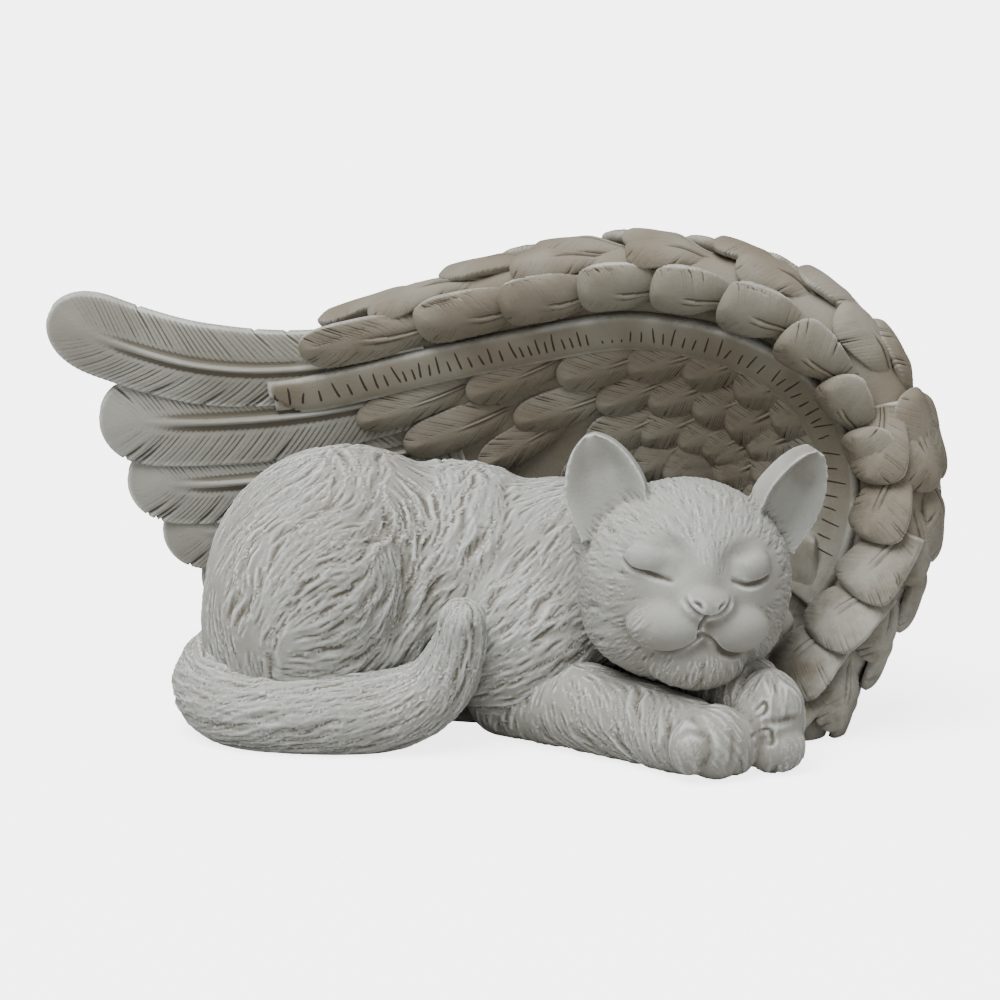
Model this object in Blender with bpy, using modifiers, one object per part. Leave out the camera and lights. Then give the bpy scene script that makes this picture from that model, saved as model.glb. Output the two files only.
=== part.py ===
"""Memorial statue of a sleeping cat in front of a curled wing, cast in one piece.

Metres, +Z up, +X to the cat's face, -Y to the viewer. The origin is at the middle of the flat underside.
"""

import math

import bmesh
import bpy
import numpy as np
from mathutils import Euler, Matrix, Vector

# Overall length of the cast, in metres. The figure below is drawn in millimetres, then brought to this.
LENGTH = 0.232

# Sizes of the cast that can be set by themselves, in drawn millimetres.
WALL = 8.0                # thickness of the wing's bowl
ROLL_RADIUS = 8.8         # the wing's thick leading edge under its feathers, at its widest
FEATHER_THICKNESS = 2.2   # how thick a covert feather is
FEATHER_LIFT = 2.4        # how far a covert feather's tip stands off what it lies on
ROOT_DEPTH = 2.6          # how far its root dips under the row before it
QUILL_THICKNESS = 5.0     # how thick a long flight feather is
QUILL_RADIUS = 1.5        # the shaft that stands out along a flight feather
BAND_WIDTH = 9.6          # the smooth strip that carries the inscription
BAND_HEIGHT = 3.0         # how far the strip stands proud, over the roots of the feathers beside it
TAIL_RADIUS = 11.0        # the tail, at its thickest
FORELEG_RADIUS = 10.5

# Mesh sizes, in drawn millimetres and triangles.
VOXEL = 1.0
MOST_TRIANGLES = 9400
FACE_CARE = 0.9
GROUND_BOX = 400.0        # the block above the ground that the underside is cut to
CARE_STRENGTH = 4.0

STONE_COLOUR = (0.62, 0.59, 0.51, 1.0)
STONE_ROUGHNESS = 0.75

# The wing's leading edge, from the left to the ground at the right: x, y, z and share of ROLL_RADIUS.
LEADING_EDGE = (
    (-74, 34, 90, 0.22),
    (-50, 31, 94, 0.36),
    (-16, 27, 104.8, 0.64),
    (15, 20, 114.2, 0.68),
    (38, 14, 117.5, 0.68),
    (62, 8, 113.5, 0.82),
    (83, 4, 102, 0.98),
    (97, 2, 84, 1.0),
    (101.5, 0, 63.5, 1.0),
    (98.5, -2, 43, 0.96),
    (89.5, -4, 25, 0.9),
    (80, -7, 8, 0.85),
    (74, -9, -6, 0.80),
)
# The bottom of the wing's bowl, behind the cat, and how fast the bowl rises to its edge.
BOWL_BOTTOM = (30, 38, 34)
BOWL_POWER = 2.2
# The wall under the bowl that carries it to the ground: its middle, and its reach from there.
FOOT_MIDDLE = (12, 39, 22)
FOOT_REACH = (70, 0, 28)


def smooth_path(points, count):
    """Points on a Catmull-Rom curve through the given rows, at even steps of its length."""
    rows = np.array(points, float)
    rows = np.vstack([2 * rows[0] - rows[1], rows, 2 * rows[-1] - rows[-2]])
    steps = np.linspace(0, 1, 24, endpoint=False)[:, None]
    pieces = []
    for a, b, c, d in zip(rows, rows[1:], rows[2:], rows[3:]):
        pieces.append(
            0.5
            * (
                2 * b
                + (c - a) * steps
                + (2 * a - 5 * b + 4 * c - d) * steps**2
                + (3 * b - a - 3 * c + d) * steps**3
            )
        )
    fine = np.vstack(pieces + [rows[-2:-1]])
    along = np.concatenate([[0], np.cumsum(np.linalg.norm(np.diff(fine[:, :3], axis=0), axis=1))])
    wanted = np.linspace(0, along[-1], count)
    return np.column_stack([np.interp(wanted, along, column) for column in fine.T])


def smooth_step(x):
    x = np.clip(x, 0, 1)
    return x * x * (3 - 2 * x)


# Wing surfaces

EDGE_STEPS = 241
EDGE = smooth_path(LEADING_EDGE, EDGE_STEPS)
EDGE_LENGTH = float(np.linalg.norm(np.diff(EDGE[:, :3], axis=0), axis=1).sum())


def edge_at(share):
    """Centre, radius, tangent, outward and forward directions of the leading edge at a share of its length."""
    row = np.clip(share, 0, 1) * (EDGE_STEPS - 1)
    grid = np.arange(EDGE_STEPS)
    centre = np.column_stack([np.interp(row, grid, EDGE[:, k]) for k in range(3)])
    slope = np.gradient(EDGE[:, :3], axis=0)
    tangent = np.column_stack([np.interp(row, grid, slope[:, k]) for k in range(3)])
    tangent /= np.linalg.norm(tangent, axis=1, keepdims=True)
    beyond = (share - np.clip(share, 0, 1))[:, None] * EDGE_LENGTH
    centre = centre + tangent * beyond
    radius = np.interp(row, grid, EDGE[:, 3]) * ROLL_RADIUS
    outward = np.column_stack([-tangent[:, 2], np.zeros(len(row)), tangent[:, 0]])
    outward /= np.linalg.norm(outward, axis=1, keepdims=True)
    forward = np.cross(outward, tangent)
    return centre, radius, tangent, outward, forward


def roll_point(share, angle, lift):
    """A point on the rolled leading edge: angle 0 faces the viewer and 90 the outside, in degrees."""
    centre, radius, _, outward, forward = edge_at(share)
    turn = np.radians(angle)[:, None]
    reach = (radius + lift)[:, None]
    return centre + reach * (np.cos(turn) * forward + np.sin(turn) * outward)


def bowl_depth(x, z):
    """y of the middle of the wing's wall, seen from the front at x, z."""
    bx, by, bz = BOWL_BOTTOM
    edge_angle = np.unwrap(np.arctan2(EDGE[:, 2] - bz, EDGE[:, 0] - bx))[::-1]
    edge_reach = np.hypot(EDGE[:, 0] - bx, EDGE[:, 2] - bz)[::-1]
    angle = np.arctan2(z - bz, x - bx)
    angle = np.where(angle < edge_angle[0] - 0.6, angle + 2 * math.pi, angle)
    reach = np.interp(angle, edge_angle, edge_reach)
    rise = np.interp(angle, edge_angle, EDGE[::-1, 1]) - by
    share = np.clip(np.hypot(x - bx, z - bz) / reach, 0, 1.25)
    return by + rise * share**BOWL_POWER


def bowl_point(x, z, lift):
    """A point off the bowl's wall: lift is measured from its middle, forward when positive."""
    step = 0.5
    slope_x = (bowl_depth(x + step, z) - bowl_depth(x - step, z)) / (2 * step)
    slope_z = (bowl_depth(x, z + step) - bowl_depth(x, z - step)) / (2 * step)
    normal = np.column_stack([slope_x, -np.ones(len(x)), slope_z])
    normal /= np.linalg.norm(normal, axis=1, keepdims=True)
    return np.column_stack([x, bowl_depth(x, z), z]) + normal * np.asarray(lift)[..., None]


# Shapes of the cast, gathered in one mesh before they are fused

def with_modifiers(mesh, *steps):
    """The mesh after a row of modifiers, each given by its type and settings."""
    holder = bpy.data.objects.new("holder", mesh)
    bpy.context.scene.collection.objects.link(holder)
    for kind, settings in steps:
        modifier = holder.modifiers.new(kind.title(), kind)
        for name, value in settings.items():
            setattr(modifier, name, value)
    graph = bpy.context.evaluated_depsgraph_get()
    result = bpy.data.meshes.new_from_object(holder.evaluated_get(graph))
    bpy.data.objects.remove(holder)
    bpy.data.meshes.remove(mesh)
    return result


class Clay:
    """The overlapping closed shapes that are fused into the cast."""

    def __init__(self):
        self.mesh = bmesh.new()
        made = bmesh.new()
        bmesh.ops.create_uvsphere(made, u_segments=32, v_segments=20, radius=1)
        self.round = bpy.data.meshes.new("round")
        made.to_mesh(self.round)
        made.free()

    def add(self, mesh, matrix=None):
        """Takes a closed mesh in, moved by the matrix, and removes it."""
        if matrix is not None:
            mesh.transform(matrix)
        self.mesh.from_mesh(mesh)
        bpy.data.meshes.remove(mesh)

    def ball(self, centre, radii, turn=(0, 0, 0)):
        """An ellipsoid; turn is in degrees about x, y and z."""
        matrix = Matrix.LocRotScale(
            Vector(centre), Euler([math.radians(a) for a in turn]), Vector(radii)
        )
        self.add(self.round.copy(), matrix)

    def limb(self, stations, steps=24):
        """A tapered round limb through rows of x, y, z and radius, with round ends."""
        rows = smooth_path(stations, steps)
        curve = bpy.data.curves.new("limb", "CURVE")
        curve.dimensions = "3D"
        curve.bevel_depth = 1.0
        curve.bevel_resolution = 6
        curve.use_fill_caps = True
        spline = curve.splines.new("POLY")
        spline.points.add(len(rows) - 1)
        for point, row in zip(spline.points, rows):
            point.co = (*row[:3], 1)
            point.radius = row[3]
        holder = bpy.data.objects.new("limb", curve)
        bpy.context.scene.collection.objects.link(holder)
        graph = bpy.context.evaluated_depsgraph_get()
        tube = bpy.data.meshes.new_from_object(holder.evaluated_get(graph))
        bpy.data.objects.remove(holder)
        made = bmesh.new()
        made.from_mesh(tube)
        bmesh.ops.remove_doubles(made, verts=made.verts, dist=1e-4)
        made.to_mesh(tube)
        made.free()
        self.add(tube)
        for row in (rows[0], rows[-1]):
            self.ball(row[:3], (row[3],) * 3)

    def slab(self, place, thickness, segments):
        """A closed slab: place(a, b, side) gives its points for a and b from -1 to 1, side -1 or 1."""
        made = bmesh.new()
        bmesh.ops.create_grid(made, x_segments=segments[0], y_segments=segments[1], size=1)
        flat = np.array([v.co for v in made.verts])
        lower = list(made.verts)
        copied = bmesh.ops.duplicate(made, geom=made.faces[:])
        upper = [copied["vert_map"][v] for v in lower]
        bmesh.ops.reverse_faces(made, faces=[f for f in copied["geom"] if isinstance(f, bmesh.types.BMFace)])
        rim = [e for e in made.edges if e.is_boundary]
        bmesh.ops.bridge_loops(made, edges=rim)
        for verts, side in ((lower, -1), (upper, 1)):
            for vert, point in zip(verts, place(flat[:, 0], flat[:, 1], side * thickness / 2)):
                vert.co = point
        bmesh.ops.recalc_face_normals(made, faces=made.faces)
        mesh = bpy.data.meshes.new("slab")
        made.to_mesh(mesh)
        made.free()
        self.add(mesh)

    def fused(self, voxel, rounds):
        """The shapes as one closed skin, smoothed a number of rounds."""
        mesh = bpy.data.meshes.new("clay")
        self.mesh.to_mesh(mesh)
        self.mesh.free()
        bpy.data.meshes.remove(self.round)
        return with_modifiers(
            mesh,
            ("REMESH", {"mode": "VOXEL", "voxel_size": voxel}),
            ("SMOOTH", {"factor": 0.5, "iterations": rounds}),
        )


def vane_width(along, tip_start=0.72):
    """Half-width of a feather as a share of its widest, from its root at 0 to its round tip at 1."""
    tip = np.sqrt(np.clip(1 - np.clip((along - tip_start) / (1 - tip_start), 0, 1) ** 2.4, 0.02, 1))
    return tip * (0.72 + 0.28 * smooth_step(along / 0.6))


def covert(clay, surface, tip, heading, length, width, base_lift, crown_height, metric=(1, 1)):
    """One short feather laid on a surface: surface(u, v, lift) gives points, and heading is where the tip points."""
    turn = math.radians(heading)
    cosine, sine = math.cos(turn), math.sin(turn)

    def place(a, b, half):
        along = (a + 1) / 2
        across = b * vane_width(along) * width / 2
        back = (along - 1) * length
        u = tip[0] + (back * cosine - across * sine) / metric[0]
        v = tip[1] + (back * sine + across * cosine) / metric[1]
        crown = (1 - np.abs(b) ** 2.4) * crown_height + 0.5 * np.exp(-((b / 0.16) ** 2)) * (along < 0.8)
        rise = FEATHER_LIFT * smooth_step(along * 1.15) - ROOT_DEPTH * (1 - smooth_step(along / 0.45))
        lift = base_lift + rise - FEATHER_THICKNESS / 2 + crown + half
        return surface(u, v, lift)

    clay.slab(place, FEATHER_THICKNESS, (12, 12))


def add_wing(clay):
    """The bowl, the rolled leading edge, the band and every feather."""
    # Rolled leading edge
    clay.limb([(*row[:3], row[3] * ROLL_RADIUS) for row in LEADING_EDGE], steps=60)

    # Bowl: from its bottom out to the middle of the roll
    bx, _, bz = BOWL_BOTTOM

    def bowl(a, b, half):
        centre = edge_at((a + 1) / 2)[0]
        out = 0.02 + 0.98 * (b + 1) / 2
        return bowl_point(bx + (centre[:, 0] - bx) * out, bz + (centre[:, 2] - bz) * out, half)

    clay.slab(bowl, WALL, (48, 14))

    # Foot of the wing, from under the bowl to the ground
    def foot(a, b, half):
        x = FOOT_MIDDLE[0] + FOOT_REACH[0] * a
        y = FOOT_MIDDLE[1] - 25 * np.abs(a) ** 3 * (a > 0) - 8 * a**2 - half
        return np.column_stack([x, y, FOOT_MIDDLE[2] + FOOT_REACH[2] * b])

    clay.slab(foot, WALL + 2, (24, 8))
    add_flight_feathers(clay)
    add_inner_feathers(clay)
    add_edge_feathers(clay)
    add_back_feathers(clay)
    add_band(clay)


# Long feathers at the left, top one first: rows from the tip to the root of x, z, then the width.
FLIGHT_FEATHERS = (
    (((-119, 103), (-101, 95.5), (-78, 89.5), (-52, 89), (-20, 95)), 21),
    (((-106, 75), (-83, 74), (-50, 76.5), (-10, 84)), 24),
    (((-99, 58), (-77, 57), (-46, 61), (-8, 70)), 22),
    (((-90, 44), (-69, 44), (-40, 50), (-8, 60)), 21),
    (((-80, 30), (-58, 32), (-32, 40), (-4, 50)), 20.5),
    (((-68, 15), (-47, 20), (-24, 30), (0, 40)), 20),
)
FLIGHT_TIP = 0.84   # where along a flight feather its round end starts
FLIGHT_STEP = 1.7   # each flight feather lies this far behind the one above


def add_flight_feathers(clay):
    for order, (line, width) in enumerate(FLIGHT_FEATHERS):
        path = smooth_path([(x, z, 0) for x, z in line], 40)[:, :2]
        slope = np.gradient(path, axis=0)
        slope /= np.linalg.norm(slope, axis=1, keepdims=True)

        def place(a, b, half, path=path, slope=slope, width=width, order=order):
            along = (a + 1) / 2
            row = (1 - along) * (len(path) - 1)
            grid = np.arange(len(path))
            at = np.column_stack([np.interp(row, grid, path[:, k]) for k in range(2)])
            way = np.column_stack([np.interp(row, grid, slope[:, k]) for k in range(2)])
            reach = b * vane_width(along, FLIGHT_TIP) * width / 2
            x = at[:, 0] + way[:, 1] * reach
            z = at[:, 1] - way[:, 0] * reach
            depth = 33 + order * FLIGHT_STEP + 0.0006 * (x + 60) ** 2
            return np.column_stack([x, depth - 1.2 * (1 - b**2) - half, z])

        clay.slab(place, QUILL_THICKNESS, (24, 8))
        shaft = np.linspace(-0.86, 0.9, 16)[::-1]
        front = place(shaft, np.zeros(16), QUILL_THICKNESS / 2)
        thick = np.linspace(0.9, 0.3, 16)[::-1] * QUILL_RADIUS
        clay.limb(np.column_stack([front, thick]), 30)


def shares(count, first, last, ease=1.0):
    """Even steps from first to last, drawn together towards the end when ease is under 1."""
    return [first + (last - first) * (k / (count - 1)) ** ease for k in range(count)]


# Rows of coverts in the bowl: where their tips point, how far in from the band's middle the first row
# has its tips and how far on each further row, and for each row the shares that it spans and its count.
INNER_HEADING = 180 + 21
INNER_FIRST = 10.5
INNER_STEP = 10.5
INNER_SPANS = ((0.109, 0.93), (0.14, 0.90), (0.20, 0.85), (0.27, 0.80))
INNER_COUNTS = (11, 10, 8, 6)
# How far the band's middle lies in from the middle of the roll, by the share of the edge's length.
BAND_SHARES = (0, 0.3, 0.45, 0.62, 0.8, 1)
BAND_OFFSETS = (8.6, 14, 14.2, 11.2, 9.8, 9.8)


def band_line(share, beyond):
    """x and z of a line along the band, by its distance beyond the band's middle."""
    centre, _, _, outward, _ = edge_at(share)
    offset = np.interp(share, BAND_SHARES, BAND_OFFSETS) + beyond
    return centre[:, 0] - outward[:, 0] * offset, centre[:, 2] - outward[:, 2] * offset


def add_inner_feathers(clay):
    """Rows of coverts inside the band, their tips all pointing down to the left."""
    for row, ((first, last), count) in enumerate(zip(INNER_SPANS, INNER_COUNTS)):
        for share in shares(count, first, last, 0.9):
            right = float(smooth_step((share - 0.2) / 0.4))
            x, z = band_line(np.array([share]), INNER_FIRST + INNER_STEP * row + 1.5 * right)
            covert(
                clay, bowl_point, (float(x[0]), float(z[0])), INNER_HEADING + 4 * row,
                36 - 16 * right, 10.5 + 4 * right, WALL / 2 + 0.2 - 0.3 * row, 1.3,
            )


TURN_SHARE = 0.70   # where the coverts of the leading edge turn from pointing left to pointing down
# The row beside the band: how far out from the band's middle its tips lie, by the share of the edge.
FRONT_SHARES = (0, 0.2, 0.5, 0.62, 0.85, 0.93)
FRONT_TIPS = (-13, -14.5, -15.5, -12, -11.5, -7)
FRONT_SPAN = (0.08, 0.93)
FRONT_COUNT = 14
# The rows round the roll: the angle round it, then the shares that each spans, its count and lift.
ROLL_ANGLES = (28, 80, 130)
ROLL_SPANS = ((0.27, 0.93), (0.10, 0.90), (0.15, 0.90))
ROLL_COUNTS = (13, 12, 9)
ROLL_LIFTS = (1.6, 0.8, 0.1)
ROW_EASE = 0.8   # under 1 the coverts are longest and widest apart at the left


def roll_surface(u, v, lift):
    return roll_point(u / EDGE_LENGTH, v, lift)


def over_front(u, v, lift):
    """A point over the bowl's front and the roll's swell, by the way along the edge and in from the band."""
    share = u / EDGE_LENGTH
    x, z = band_line(share, v)
    inward = np.interp(share, BAND_SHARES, BAND_OFFSETS) + v
    swell = np.sqrt(np.clip(edge_at(share)[1] ** 2 - inward**2, 0, None)) - WALL / 2
    return bowl_point(x, z, WALL / 2 + 0.5 * (swell + np.sqrt(swell**2 + 1.5)) + lift)


def edge_covert(clay, surface, share, v, tilts, width, lift, metric):
    """One covert of the leading edge; its two tilts are for before and after the turn."""
    up = share < TURN_SHARE
    length = 40 - 19 * float(smooth_step(share / 0.45))
    heading = 180 + tilts[0] if up else tilts[1]
    covert(clay, surface, (share * EDGE_LENGTH, v), heading, length, width, lift, 1.5, metric)


def add_edge_feathers(clay):
    """Coverts pointing left over the top of the wing, and down where it turns down."""
    for share in shares(FRONT_COUNT, *FRONT_SPAN, ROW_EASE):
        tip = float(np.interp(share, FRONT_SHARES, FRONT_TIPS))
        width = 13.5 - 2.5 * float(smooth_step((share - 0.5) / 0.2))
        edge_covert(clay, over_front, share, tip, (6, 10), width, 0.8, (1, 1))
    for angle, span, count, lift in zip(ROLL_ANGLES, ROLL_SPANS, ROLL_COUNTS, ROLL_LIFTS):
        for share in shares(count, *span, ROW_EASE):
            radius = float(edge_at(np.array([share]))[1][0])
            width = min(15, radius * 1.2 + 5)
            metric = (1, (radius + 2) * math.pi / 180)
            edge_covert(clay, roll_surface, share, angle, (0, -12), width, lift, metric)


# Rows on the wing's back: how far in from the edge, then the count.
BACK_ROWS = ((3, 11), (17, 9), (32, 7))


def add_back_feathers(clay):
    """Plainer rows on the wing's back, all pointing along it to the left."""

    def behind(u, v, lift):
        x, z = band_line(u / EDGE_LENGTH, v)
        return bowl_point(x, z, -lift)

    for row, (offset, count) in enumerate(BACK_ROWS):
        for share in shares(count, 0.1 + 0.04 * row, 0.86):
            covert(
                clay, behind, (share * EDGE_LENGTH, offset), 180,
                34 - 6 * row, 15.5, WALL / 2 + 0.7 - 0.4 * row, 0.8,
            )


def add_band(clay):
    def place(a, b, half):
        share = 0.045 + (a + 1) / 2 * 0.83
        x, z = band_line(share, b * BAND_WIDTH / 2)
        return bowl_point(x, z, WALL / 2 + (BAND_HEIGHT + 0.8 * (1 - b**4)) * (half > 0))

    clay.slab(place, BAND_HEIGHT, (60, 6))


# The cat

def cat_body():
    """Rump, thigh, trunk and chest, run softly together."""
    clay = Clay()
    clay.ball((-40, 9, 34), (37, 30, 38.5))
    clay.ball((-12, 12, 35), (32, 27, 33), (0, 8, 0))
    clay.ball((14, 9, 33), (30, 25, 31), (0, 6, 0))
    clay.ball((6, -4, 24), (22, 20, 24))
    clay.ball((30, 0, 38), (24, 20, 22))
    return clay.fused(1.6, 22)


def thigh():
    clay = Clay()
    clay.ball((-50, -2, 31), (27, 25, 33), (0, 10, 0))
    clay.ball((-43, -5, 38), (22, 21, 25))
    return clay.fused(1.6, 10)


def add_cat(clay):
    clay.add(cat_body())
    clay.add(thigh())
    # The mass that joins cat and wing at the ground
    clay.ball((20, 22, 6), (62, 24, 20))
    clay.ball((-30, 22, 6), (48, 18, 24))
    clay.ball((52, 4, 4), (36, 18, 16))
    clay.limb(
        (
            (-64, 14, 17, TAIL_RADIUS * 1.15),
            (-73.5, -2, 13, TAIL_RADIUS * 1.05),
            (-68, -15, 10, TAIL_RADIUS),
            (-50, -21, 9.4, TAIL_RADIUS),
            (-30, -21.5, 10, TAIL_RADIUS * 0.97),
            (-17, -22, 15.5, TAIL_RADIUS * 0.85),
            (-11, -24, 26, TAIL_RADIUS * 0.68),
            (-9.5, -26, 35, TAIL_RADIUS * 0.56),
        ),
        40,
    )
    clay.add(forelegs())
    clay.add(head())
    for foot, lean in EARS:
        add_ear(clay, on_head(*foot), lean)


def forelegs():
    """The near foreleg reaches forward along the ground and the far one is tucked, toes stacked."""
    clay = Clay()
    clay.limb(
        (
            (2, -6, 10, FORELEG_RADIUS * 1.05),
            (16, -15, 10.5, FORELEG_RADIUS * 1.12),
            (32, -27, 9.6, FORELEG_RADIUS * 1.03),
            (46, -40, 9, FORELEG_RADIUS * 0.95),
            (52, -46, 9.5, FORELEG_RADIUS * 0.80),
        )
    )
    clay.limb(
        (
            (54, -14, 16, FORELEG_RADIUS * 1.1),
            (61, -27, 15, FORELEG_RADIUS * 1.1),
            (66, -37, 13.5, FORELEG_RADIUS * 0.95),
        )
    )
    clay.ball((67, -37, 12.5), (10.5, 9, 13))
    for centre, radii in (
        ((46.5, -49.5, 7.4), (6.6, 6.6, 8.6)),
        ((54.5, -49.5, 8.6), (5.6, 6, 8.6)),
        ((60, -45.5, 8.4), (5, 6, 8)),
        ((69, -43.5, 5), (7.6, 5.6, 5.8)),
        ((69.5, -44.5, 12.5), (7.6, 5.6, 4.8)),
        ((67.5, -42, 19.5), (7, 5.6, 4.8)),
    ):
        clay.ball(centre, radii)
    return clay.fused(1.0, 5)


HEAD_CENTRE = Vector((46.5, -20, 43.6))
HEAD_TURN = Euler((math.radians(-2), math.radians(4.5), math.radians(12)))
EARS = (((-18.5, 0, 14), (-17, 6, -8)), ((18.5, 0, 14), (32, 10, 24)))   # foot on the head, lean
EAR_HEIGHT = 23.5
EAR_WIDTH = 24.5


def on_head(right, ahead, up):
    """A point given in the head's own directions, in drawn millimetres."""
    return HEAD_CENTRE + HEAD_TURN.to_matrix() @ Vector((right, -ahead, up))


def head():
    clay = Clay()
    turn = tuple(math.degrees(a) for a in HEAD_TURN)
    for spot, radii in (
        ((0, 0, 0), (27.5, 25, 26.5)),
        ((0, 1, -8.5), (26, 21, 17)),
        ((0, 15, -16.5), (13, 10, 8)),
        ((0, 18.5, 5), (7, 7.5, 13)),
        ((0, 24.5, -1.5), (6.4, 5.6, 3.8)),
    ):
        clay.ball(on_head(*spot), radii, turn)
    for side in (-1, 1):
        clay.ball(on_head(11.2 * side, 18.6, 9.3), (7.2, 4.8, 5), turn)
        clay.ball(on_head(8.2 * side, 20.2, -7.2), (11, 8.2, 7.4), turn)
    return clay.fused(0.9, 6)


def add_ear(clay, foot, lean):
    """A hollow ear; lean is in degrees: sideways, backwards and round its own axis."""
    turn = (
        Matrix.Rotation(math.radians(lean[0]), 3, "Y")
        @ Matrix.Rotation(math.radians(-lean[1]), 3, "X")
        @ Matrix.Rotation(math.radians(lean[2]), 3, "Z")
    )

    def place(a, b, half):
        up = (a + 1) / 2
        reach = b * EAR_WIDTH / 2 * np.clip(1 - up**1.5, 0.02, 1) ** 0.62 * (0.7 + 0.3 * smooth_step(up / 0.4))
        hollow = -3.4 * np.abs(b) ** 2 * (1 - 0.6 * up)
        local = np.column_stack([reach, hollow + half * (1.3 - 0.6 * up), up * EAR_HEIGHT])
        return local @ np.array(turn).T + np.array(foot)

    clay.slab(place, 4.0, (10, 8))


# Carving: grooves pressed into the fused skin along lines on the head's face and on the body

def pressed(points, normals, line, width, depth):
    """Moves points near a line in by depth along their normals, fading out over width."""
    line = smooth_path(line, max(6, int(len(line) * 8)))
    away = np.full(len(points), np.inf)
    for spot in line:
        away = np.minimum(away, np.linalg.norm(points - spot, axis=1))
    return points - normals * (depth * np.exp(-((away / width) ** 2)))[:, None]


FACE_LINES = (
    # rows of right, ahead, up on the head, then width and depth of the groove
    (((-20, 16, 8.2), (-17, 19, 6.6), (-12, 22, 4.8), (-8, 23, 4.4)), 1.6, 1.8),
    (((7.5, 23, 5.4), (12, 22, 4.4), (17, 19, 5.4), (20, 16, 7.6)), 1.6, 1.8),
    (((0, 28, -8), (-5, 26.5, -12), (-11, 23.5, -12.6), (-15, 21, -10), (-17.5, 18.5, -6)), 1.5, 1.9),
    (((0, 28, -8), (4, 27, -12), (9, 24.5, -12.3), (13, 22, -10), (16, 20, -7)), 1.5, 1.9),
    (((0, 30, -3.5), (0, 29, -7.5)), 1.4, 1.6),
    (((-6.5, 23, 13), (-7, 22, 8.5)), 3.6, 1.6),
    (((6.5, 23, 13), (7, 22, 8.5)), 3.6, 1.6),
    (((-6.5, 27, -1), (-4, 28, -3.5), (0, 30, -4)), 1.2, 0.8),
    (((6.5, 27, -1), (4, 28, -3.5), (0, 30, -4)), 1.2, 0.8),
)
# Soft creases and locks of fur on the body: x, y, z rows, then width and depth.
BODY_LINES = (
    (((-25, -20, 62), (-21, -22, 50), (-21, -22, 38), (-25, -24, 26)), 2.6, 2.2),
)


def carved(skin):
    count = len(skin.vertices)
    points = np.empty(count * 3)
    normals = np.empty(count * 3)
    skin.vertices.foreach_get("co", points)
    skin.vertices.foreach_get("normal", normals)
    points = points.reshape(-1, 3)
    normals = normals.reshape(-1, 3)
    for line, width, depth in FACE_LINES:
        points = pressed(points, normals, [on_head(*spot) for spot in line], width, depth)
    for line, width, depth in BODY_LINES:
        points = pressed(points, normals, line, width, depth)
    skin.vertices.foreach_set("co", points.ravel())
    skin.update()
    return skin


def only_largest(skin):
    """The skin without the shells that lie inside it, and cut off a little under the ground."""
    made = bmesh.new()
    made.from_mesh(skin)
    left = set(made.verts)
    groups = []
    while left:
        seed = left.pop()
        group = [seed]
        for vert in group:
            for edge in vert.link_edges:
                other = edge.other_vert(vert)
                if other in left:
                    left.remove(other)
                    group.append(other)
        groups.append(group)
    groups.sort(key=len)
    bmesh.ops.delete(made, geom=[v for group in groups[:-1] for v in group], context="VERTS")
    bmesh.ops.bisect_plane(
        made, geom=made.verts[:] + made.edges[:] + made.faces[:],
        plane_co=(0, 0, -1.5), plane_no=(0, 0, 1), clear_inner=True,
    )
    bmesh.ops.holes_fill(made, edges=[e for e in made.edges if e.is_boundary], sides=0)
    bmesh.ops.triangulate(made, faces=made.faces)
    made.to_mesh(skin)
    made.free()
    return skin


def thin_out(statue):
    """Brings the skin down to MOST_TRIANGLES, sparing the face."""
    spare = statue.vertex_groups.new(name="spare")
    face = np.array(on_head(0, 24, -3))
    for vert in statue.data.vertices:
        near = math.exp(-((np.linalg.norm(np.array(vert.co) - face) / 22) ** 4))
        spare.add([vert.index], 1 - FACE_CARE * near, "REPLACE")
    decimate = statue.modifiers.new("Thin", "DECIMATE")
    decimate.ratio = MOST_TRIANGLES / len(statue.data.polygons)
    decimate.vertex_group = spare.name
    decimate.vertex_group_factor = CARE_STRENGTH
    graph = bpy.context.evaluated_depsgraph_get()
    thin = bpy.data.meshes.new_from_object(statue.evaluated_get(graph))
    statue.modifiers.clear()
    statue.vertex_groups.clear()
    statue.data = thin


def bring_to_place(mesh):
    """To its length in metres, with the origin under the middle of its box."""
    spots = np.array([v.co for v in mesh.vertices])
    low, high = spots.min(axis=0), spots.max(axis=0)
    middle = (low + high) / 2
    mesh.transform(Matrix.Translation((-middle[0], -middle[1], 0)))
    mesh.transform(Matrix.Scale(LENGTH / (high[0] - low[0]), 4))


def main():
    for obj in list(bpy.data.objects):
        bpy.data.objects.remove(obj)
    clay = Clay()
    add_wing(clay)
    add_cat(clay)
    skin = only_largest(carved(clay.fused(VOXEL, 3)))
    statue = bpy.data.objects.new("statue", skin)
    bpy.context.scene.collection.objects.link(statue)
    thin_out(statue)

    # Flat underside
    ground = bpy.data.meshes.new("ground")
    made = bmesh.new()
    bmesh.ops.create_cube(made, size=GROUND_BOX, matrix=Matrix.Translation((0, 0, GROUND_BOX / 2)))
    made.to_mesh(ground)
    made.free()
    box = bpy.data.objects.new("ground", ground)
    bpy.context.scene.collection.objects.link(box)
    cut = statue.modifiers.new("Cut", "BOOLEAN")
    cut.operation = "INTERSECT"
    cut.solver = "EXACT"
    cut.object = box
    graph = bpy.context.evaluated_depsgraph_get()
    flat = bpy.data.meshes.new_from_object(statue.evaluated_get(graph))
    statue.modifiers.clear()
    statue.data = flat
    bpy.data.objects.remove(box)

    bring_to_place(flat)
    stone = bpy.data.materials.new("stone")
    stone.use_nodes = True
    shader = stone.node_tree.nodes["Principled BSDF"]
    shader.inputs["Base Color"].default_value = STONE_COLOUR
    shader.inputs["Roughness"].default_value = STONE_ROUGHNESS
    flat.materials.clear()
    flat.materials.append(stone)
    body = bpy.data.collections.new("memorial_statue")
    bpy.context.scene.collection.children.link(body)
    bpy.context.scene.collection.objects.unlink(statue)
    body.objects.link(statue)


if __name__ == "__main__":
    main()
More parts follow.
